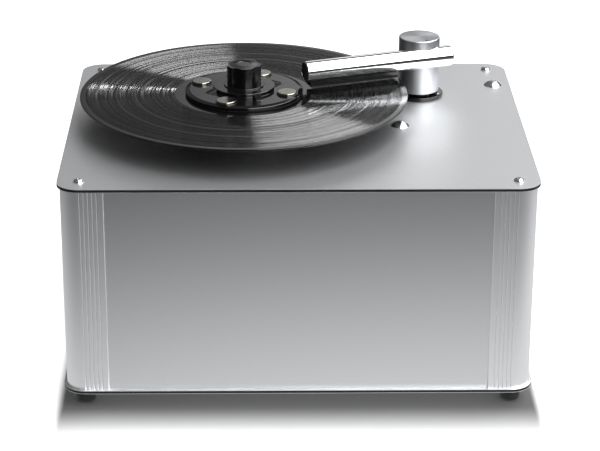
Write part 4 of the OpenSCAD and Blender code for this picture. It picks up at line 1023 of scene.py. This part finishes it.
def felt_strips():
    """Two strips of felt under the bar, one on each side of its slot"""
    strip_w = (bar_w - slot_w) / 2 - 0.3
    strips = []
    for side in (-1, 1):
        middle = -arm_offset + side * (slot_w + strip_w) / 2
        strip = block("strip", (bar_start, middle - strip_w / 2, bar_under - felt_t),
                      (bar_end, middle + strip_w / 2, bar_under))
        strips.append(bevelled(settle(strip, at_arm), 0.6, 3))
    return paint(joined("felt_strips", strips), finishes["felt"])


hand_in(nozzle_saddle(), "arm", "black_plastic", "nozzle_bar")
hand_in(felt_strips(), "arm", "felt", "nozzle_felts")


def collar():
    """A gloss moulded ring with a soft top edge"""
    ring = turned("collar", rounded([
        (collar_bore_r, 0), (collar_r, 0, 0.2),
        (collar_r, collar_h, 0.6), (collar_bore_r, collar_h, 0.2),
    ]), 128, ring=True)
    for angle in collar_screw_angles:
        cut(ring, rod(1.55, -1, collar_h + 1, on_circle(collar_screw_pitch_r, angle), 32))
    settle(ring, at_tower @ moved(0, 0, deck_top))
    return smooth(paint(ring, finishes["gloss"]))


hand_in(collar(), "root", "black_plastic", "tower_collar")


def collar_screw():
    """A small screw whose head stands a little over the collar"""
    head_top = collar_h + 0.3
    profile = rounded([
        (0, 0), (1.5, 0), (1.5, collar_h), (2.2, collar_h, 0.1),
        (2.2, head_top, 0.2), (0, head_top),
    ])
    return paint(turned("collar_screw", profile, 32), finishes["screw"])


small_screws = repeated("small_screws", collar_screw(), [
    at_tower @ turned_by(a) @ moved(collar_screw_pitch_r, 0, deck_top)
    for a in collar_screw_angles
])
hand_in(small_screws, "root", "screw_steel", "collar_screws")


# Switches, on the right side

switch_low, switch_high = low_mm("switch_housings"), high_mm("switch_housings")
pivot_x, pivot_z = switch_high.x - bezel_reach, (switch_low.z + switch_high.z) / 2
at_front_switch = moved(pivot_x, switch_low.y + bezel_w / 2, pivot_z)
at_rear_switch = moved(pivot_x, switch_high.y - bezel_w / 2, pivot_z)
facing_back = turned_by(90, "X")


def switch_housing():
    """A snap-in housing with a rounded bezel and a round room for its rocker"""
    back = bezel_reach - housing_deep
    front = bezel_reach - bezel_t
    parts = []
    for outline, start, depth in (
        (rounded_rectangle(bezel_h, bezel_w, 2.5), front, bezel_t),
        (rounded_rectangle(housing_h, housing_w, 1), back, front - back + 0.1),
    ):
        part = settle(extruded("housing", outline, depth), moved(start, 0, 0) @ lying)
        room = rod(rocker_room_r, -rocker_room_w / 2, rocker_room_w / 2, sides=120)
        parts.append(bevelled(cut(part, settle(room, facing_back)), 0.4))
    return paint(joined("housing", parts), finishes["gloss"])


def rocker():
    """A rocker with a hollowed face and soft ends, on its pivot pin"""
    outline = rounded([
        (-3, -6, 0.5), (-3, 6, 0.5), (6.6, 10.9, 0.5), (8.4, 9.8, 0.6), (4.8, 0, 12),
        (8.4, -9.8, 0.6), (6.6, -10.9, 0.5),
    ], 6)
    body = extruded("rocker", outline[::-1], rocker_w)
    settle(body, moved(0, rocker_w / 2, 0) @ facing_back)
    bevelled(body, 0.45)
    pin_end = housing_w / 2 - 0.3
    pin = settle(rod(rocker_pin_r, -pin_end, pin_end, sides=24), facing_back)
    return paint(joined("rocker", [body, smooth(pin)]), finishes["gloss"])


housings = repeated("moulded_housings", switch_housing(), [at_front_switch, at_rear_switch])
hand_in(housings, "root", "black_plastic", "switch_housings")
switched_off = turned_by(-rocker_tilt, "Y")
front_rocker = repeated("centre_off_rocker", rocker(), [at_front_switch])
rear_rocker = repeated("on_off_rocker", rocker(), [at_rear_switch @ switched_off])
hand_in(front_rocker, "rotation_switch", "black_plastic", "rotation_rocker")
hand_in(rear_rocker, "vacuum_switch", "black_plastic", "vacuum_rocker")


# Inlet and drain, at the back

def outer_middle(node):
    """The middle of a node's outer face at the back"""
    low, high = low_mm(node), high_mm(node)
    return moved((low.x + high.x) / 2, high.y, (low.z + high.z) / 2)


def keyed_socket():
    """The socket's outline, with the two cut corners that key its plug"""
    x, y = socket_w / 2, socket_h / 2
    return rounded([
        (-x, -y, 1), (x, -y, 1), (x, y - 5, 0.6), (x - 5, y, 0.6),
        (5 - x, y, 0.6), (-x, y - 5, 0.6),
    ])


def appliance_inlet():
    """A moulded mains inlet with a rounded flange and a keyed socket"""
    parts = []
    for outline, start, end in (
        (rounded_rectangle(inlet_w + 6, inlet_h + 6, 4), 0, inlet_flange_t),
        (rounded_rectangle(inlet_w, inlet_h, 2), 0.5, inlet_deep),
    ):
        part = settle(extruded("inlet", outline, end - start), moved(0, 0, start))
        socket = extruded("socket", keyed_socket(), socket_deep + 1)
        cut(part, settle(socket, moved(0, 0, -1)))
        parts.append(bevelled(part, 0.4))
    inlet = paint(joined("appliance_inlet", parts), finishes["gloss"])
    return settle(inlet, outer_middle("mains_inlet") @ facing_back)


def contact():
    """A flat plated contact with a rounded tip"""
    blade = block("contact", (-1, -2, socket_deep - contact_len), (1, 2, socket_deep + 0.5))
    return bevelled(paint(blade, finishes["brass"]), 0.35)


hand_in(appliance_inlet(), "root", "black_plastic", "mains_inlet")
contacts = repeated("inlet_contacts", contact(), [
    outer_middle("mains_inlet") @ facing_back @ moved(x, z, 0) for x, z in contacts_at
])
hand_in(contacts, "root", "screw_steel")

drain_flange_r = (high_mm("drain_port").x - low_mm("drain_port").x) / 2
drain_r = drain_flange_r - drain_flange_w
drain_bore_r = drain_r - drain_wall


def bulkhead_port():
    """A moulded drain port, held in the panel by its hexagon nut"""
    end = high_mm("drain_port").y - low_mm("drain_port").y
    port = turned("port", rounded([
        (drain_bore_r, 0, 0.4), (drain_flange_r, 0, 0.9), (drain_flange_r, drain_flange_t, 0.2),
        (drain_r, drain_flange_t), (drain_r, end, 0.4), (drain_bore_r, end, 0.4),
    ], 5), 96, ring=True)
    nut = extruded("nut", hexagon(drain_r + 4), drain_nut_t)
    cut(nut, rod(drain_r + 0.02, -1, drain_nut_t + 1))
    bevelled(settle(nut, moved(0, 0, drain_flange_t + panel_t)), 0.4)
    piece = paint(joined("bulkhead_port", [port, nut]), finishes["nylon"])
    return settle(piece, outer_middle("drain_port") @ facing_back)


def rubber_bung():
    """A moulded bung with a sunk ring for the fingers and a rounded lead-in"""
    rim_r = (high_mm("drain_bung").x - low_mm("drain_bung").x) / 2
    plug_r = drain_bore_r - 0.1
    bung = turned("rubber_bung", rounded([
        (0, 0), (3, 0, 0.4), (3.6, 0.8, 0.3), (rim_r - 2, 0.8, 0.3), (rim_r - 1.4, 0, 0.3),
        (rim_r, 0, 0.5), (rim_r, bung_t, 0.2), (plug_r, bung_t),
        (plug_r, bung_len, 1.2), (0, bung_len),
    ], 5), 96)
    return settle(paint(bung, finishes["rubber"]), outer_middle("drain_bung") @ facing_back)


hand_in(bulkhead_port(), "root", "black_plastic", "drain_port")
hand_in(rubber_bung(), "bung", "foot_rubber", "drain_bung")


# Floor, light and camera

# The floor, the edge of its painted shadow and its pool of light are in metres, the rest in
# millimetres
floor_w = 12
floor_drop = 0.4
shadow_in, shadow_out = -0.005, 0.085
pool_middle = (-0.12, 0, 0)
# The soft box lights dull surfaces at one strength and stands in mirror images at another
box_seen_dull, box_seen_glossy = 2.2, 7.5
streak_way = (0.308, 0.894, 0.326)
streak_strength = 16
room_fill, sky_fill = 0.05, 0.12
camera_at = (-31.4173, -1867.4038, 880.4973)
camera_turn = (-0.0188, 0.394, 0.0045)
lens = 129.39
sensor_w = 36


def studio_floor():
    """A floor that the camera sees white past the machine's soft shadow, partly cast and partly
    painted into the floor's colour round the case, and that the machine mirrors as a pool of light"""
    deselect()
    bpy.ops.mesh.primitive_plane_add(size=floor_w, location=(0, 0, -floor_drop * MM))
    floor = bpy.context.active_object
    floor.name = "floor"
    material, tree, shader = finish("floor_paper", {"Roughness": 0.9, "Specular IOR Level": 0})
    shader.inputs["Emission Color"].default_value = (1, 1, 1, 1)
    place = add_node(tree, "TexCoord").outputs["Object"]
    path = add_node(tree, "LightPath").outputs
    # Distance past the case's outline, eight times as fast at the sides as at front and back
    spread = add_node(tree, "VectorMath", {0: place}, operation="ABSOLUTE").outputs["Vector"]
    half = (case_w / 2 * MM, case_d / 2 * MM, 0)
    past = add_node(tree, "VectorMath", {0: spread, 1: half}, operation="SUBTRACT")
    beside = add_node(tree, "VectorMath", {
        0: past.outputs["Vector"], 1: (0, 0, 0),
    }, operation="MAXIMUM").outputs["Vector"]
    stretched = add_node(tree, "VectorMath", {0: beside, 1: (8, 1, 0)}, operation="MULTIPLY")
    beyond = add_node(tree, "VectorMath", {0: stretched.outputs["Vector"]}, operation="LENGTH")
    # Painted shadow: the floor's colour runs from grey at the case's outline to white further out,
    # and its white glow to the camera fades in with it
    painted_shadow_fade = add_node(tree, "MapRange", {
        "Value": beyond.outputs["Value"],
        "From Min": shadow_in, "From Max": shadow_out, "To Min": 0, "To Max": 0.9,
    }, interpolation_type="SMOOTHSTEP").outputs["Result"]
    coloured(tree, shader, painted_shadow_fade, "#808080", "#fbfbfb")
    seen_white = add_node(tree, "Math", {
        0: painted_shadow_fade, 1: path["Is Camera Ray"],
    }, operation="MULTIPLY")
    tree.links.new(seen_white.outputs["Value"], shader.inputs["Emission Strength"])
    centred = add_node(tree, "Mapping", {
        "Vector": place, "Location": pool_middle, "Scale": (0.6, 1, 1),
    }).outputs["Vector"]
    away = add_node(tree, "VectorMath", {0: centred}, operation="LENGTH").outputs["Value"]
    pool = add_node(tree, "MapRange", {
        "Value": away, "From Min": 0.1, "From Max": 0.85, "To Min": 0.86, "To Max": 0.1,
    }, interpolation_type="SMOOTHSTEP").outputs["Result"]
    glow = add_node(tree, "Emission", {"Strength": pool}).outputs["Emission"]
    shown = add_node(tree, "MixShader", {
        0: path["Is Glossy Ray"], 1: shader.outputs["BSDF"], 2: glow,
    }).outputs["Shader"]
    tree.links.new(shown, tree.nodes["Material Output"].inputs["Surface"])
    paint(floor, material)


def studio_light():
    """A large soft box over the right half, a graded backdrop behind, and dark to the left"""
    world = bpy.data.worlds.new("studio")
    bpy.context.scene.world = world
    world.use_nodes = True
    tree = world.node_tree
    way = add_node(tree, "TexCoord").outputs["Generated"]
    split = add_node(tree, "SeparateXYZ", {"Vector": way})
    edges = []
    for leaning, start, end in (
        # The soft box: its left edge, its foot, and the slant of its near side
        ((1, 0.0875, 0), 0.07, 0.092),
        ((0, -0.3, 1), 0.44, 0.5),
        ((3.4, -1.6, 1), 0.7, 1.1),
        # The backdrop: behind, under its top, over the floor, and between its sides
        ((0, 1, 0), 0.3, 0.75),
        ((0, 0, 1), 0.62, 0.48),
        ((0, 0, 1), 0.18, 0.3),
        ((1, 0, 0), -0.22, -0.12),
        ((1, 0, 0), 0.34, 0.24),
        # A small lamp, whose mirror image is the streak on the record's left
        (streak_way, math.cos(math.radians(1.7)), math.cos(math.radians(1.1))),
    ):
        along = add_node(tree, "VectorMath", {0: way, 1: leaning}, operation="DOT_PRODUCT")
        edges.append(add_node(tree, "MapRange", {
            "Value": along.outputs["Value"], "From Min": start, "From Max": end,
        }, interpolation_type="SMOOTHSTEP").outputs["Result"])
    right, above, overhead, behind, below_top, over_floor, past_left, before_right, lamp = edges
    box_grade = add_node(tree, "MapRange", {
        "Value": split.outputs["Z"],
        "From Min": 0.3, "From Max": 0.8, "To Min": 0.8, "To Max": 1,
    }).outputs["Result"]
    backdrop = add_node(tree, "MapRange", {
        "Value": split.outputs["X"],
        "From Min": -0.06, "From Max": 0.07, "To Min": 0.1, "To Max": 1.05,
    }).outputs["Result"]
    box = right
    for part in (above, overhead, box_grade):
        box = add_node(tree, "Math", {0: box, 1: part}, operation="MULTIPLY").outputs["Value"]
    for part in (behind, below_top, over_floor, past_left, before_right):
        graded = add_node(tree, "Math", {0: backdrop, 1: part}, operation="MULTIPLY")
        backdrop = graded.outputs["Value"]
    path = add_node(tree, "LightPath").outputs
    box_strength = add_node(tree, "MapRange", {
        "Value": path["Is Glossy Ray"], "To Min": box_seen_dull, "To Max": box_seen_glossy,
    }).outputs["Result"]
    total = backdrop
    for light, strength in (
        (box, box_strength), (lamp, streak_strength), (over_floor, sky_fill),
    ):
        total = add_node(tree, "Math", {
            0: light, 1: strength, 2: total,
        }, operation="MULTIPLY_ADD").outputs["Value"]
    filled = add_node(tree, "Math", {0: total, 1: room_fill}, operation="ADD").outputs["Value"]
    # Past the floor's edge the camera sees plain white
    total = add_node(tree, "Math", {
        0: filled, 1: path["Is Camera Ray"],
    }, operation="MAXIMUM").outputs["Value"]
    background = tree.nodes["Background"]
    background.inputs["Color"].default_value = (1, 1, 1, 1)
    tree.links.new(total, background.inputs["Strength"])


def photograph_camera():
    """The camera fitted to the photograph, from the record's rim, the plates and the posts"""
    yaw, pitch, roll = camera_turn
    away = Vector((
        -math.sin(yaw) * math.cos(pitch), math.cos(yaw) * math.cos(pitch), -math.sin(pitch),
    ))
    level = Vector((math.cos(yaw), math.sin(yaw), 0))
    upward = level.cross(away)
    right = math.cos(roll) * level + math.sin(roll) * upward
    up = -math.sin(roll) * level + math.cos(roll) * upward
    deselect()
    bpy.ops.object.camera_add()
    camera = bpy.context.active_object
    turn = Matrix((right, up, -away)).transposed().to_4x4()
    camera.matrix_world = Matrix.Translation(Vector(camera_at) * MM) @ turn
    camera.data.sensor_width = sensor_w
    camera.data.lens = lens
    camera.data.clip_end = 50
    bpy.context.scene.camera = camera


studio_floor()
studio_light()
photograph_camera()
bpy.context.scene.view_settings.view_transform = "Standard"
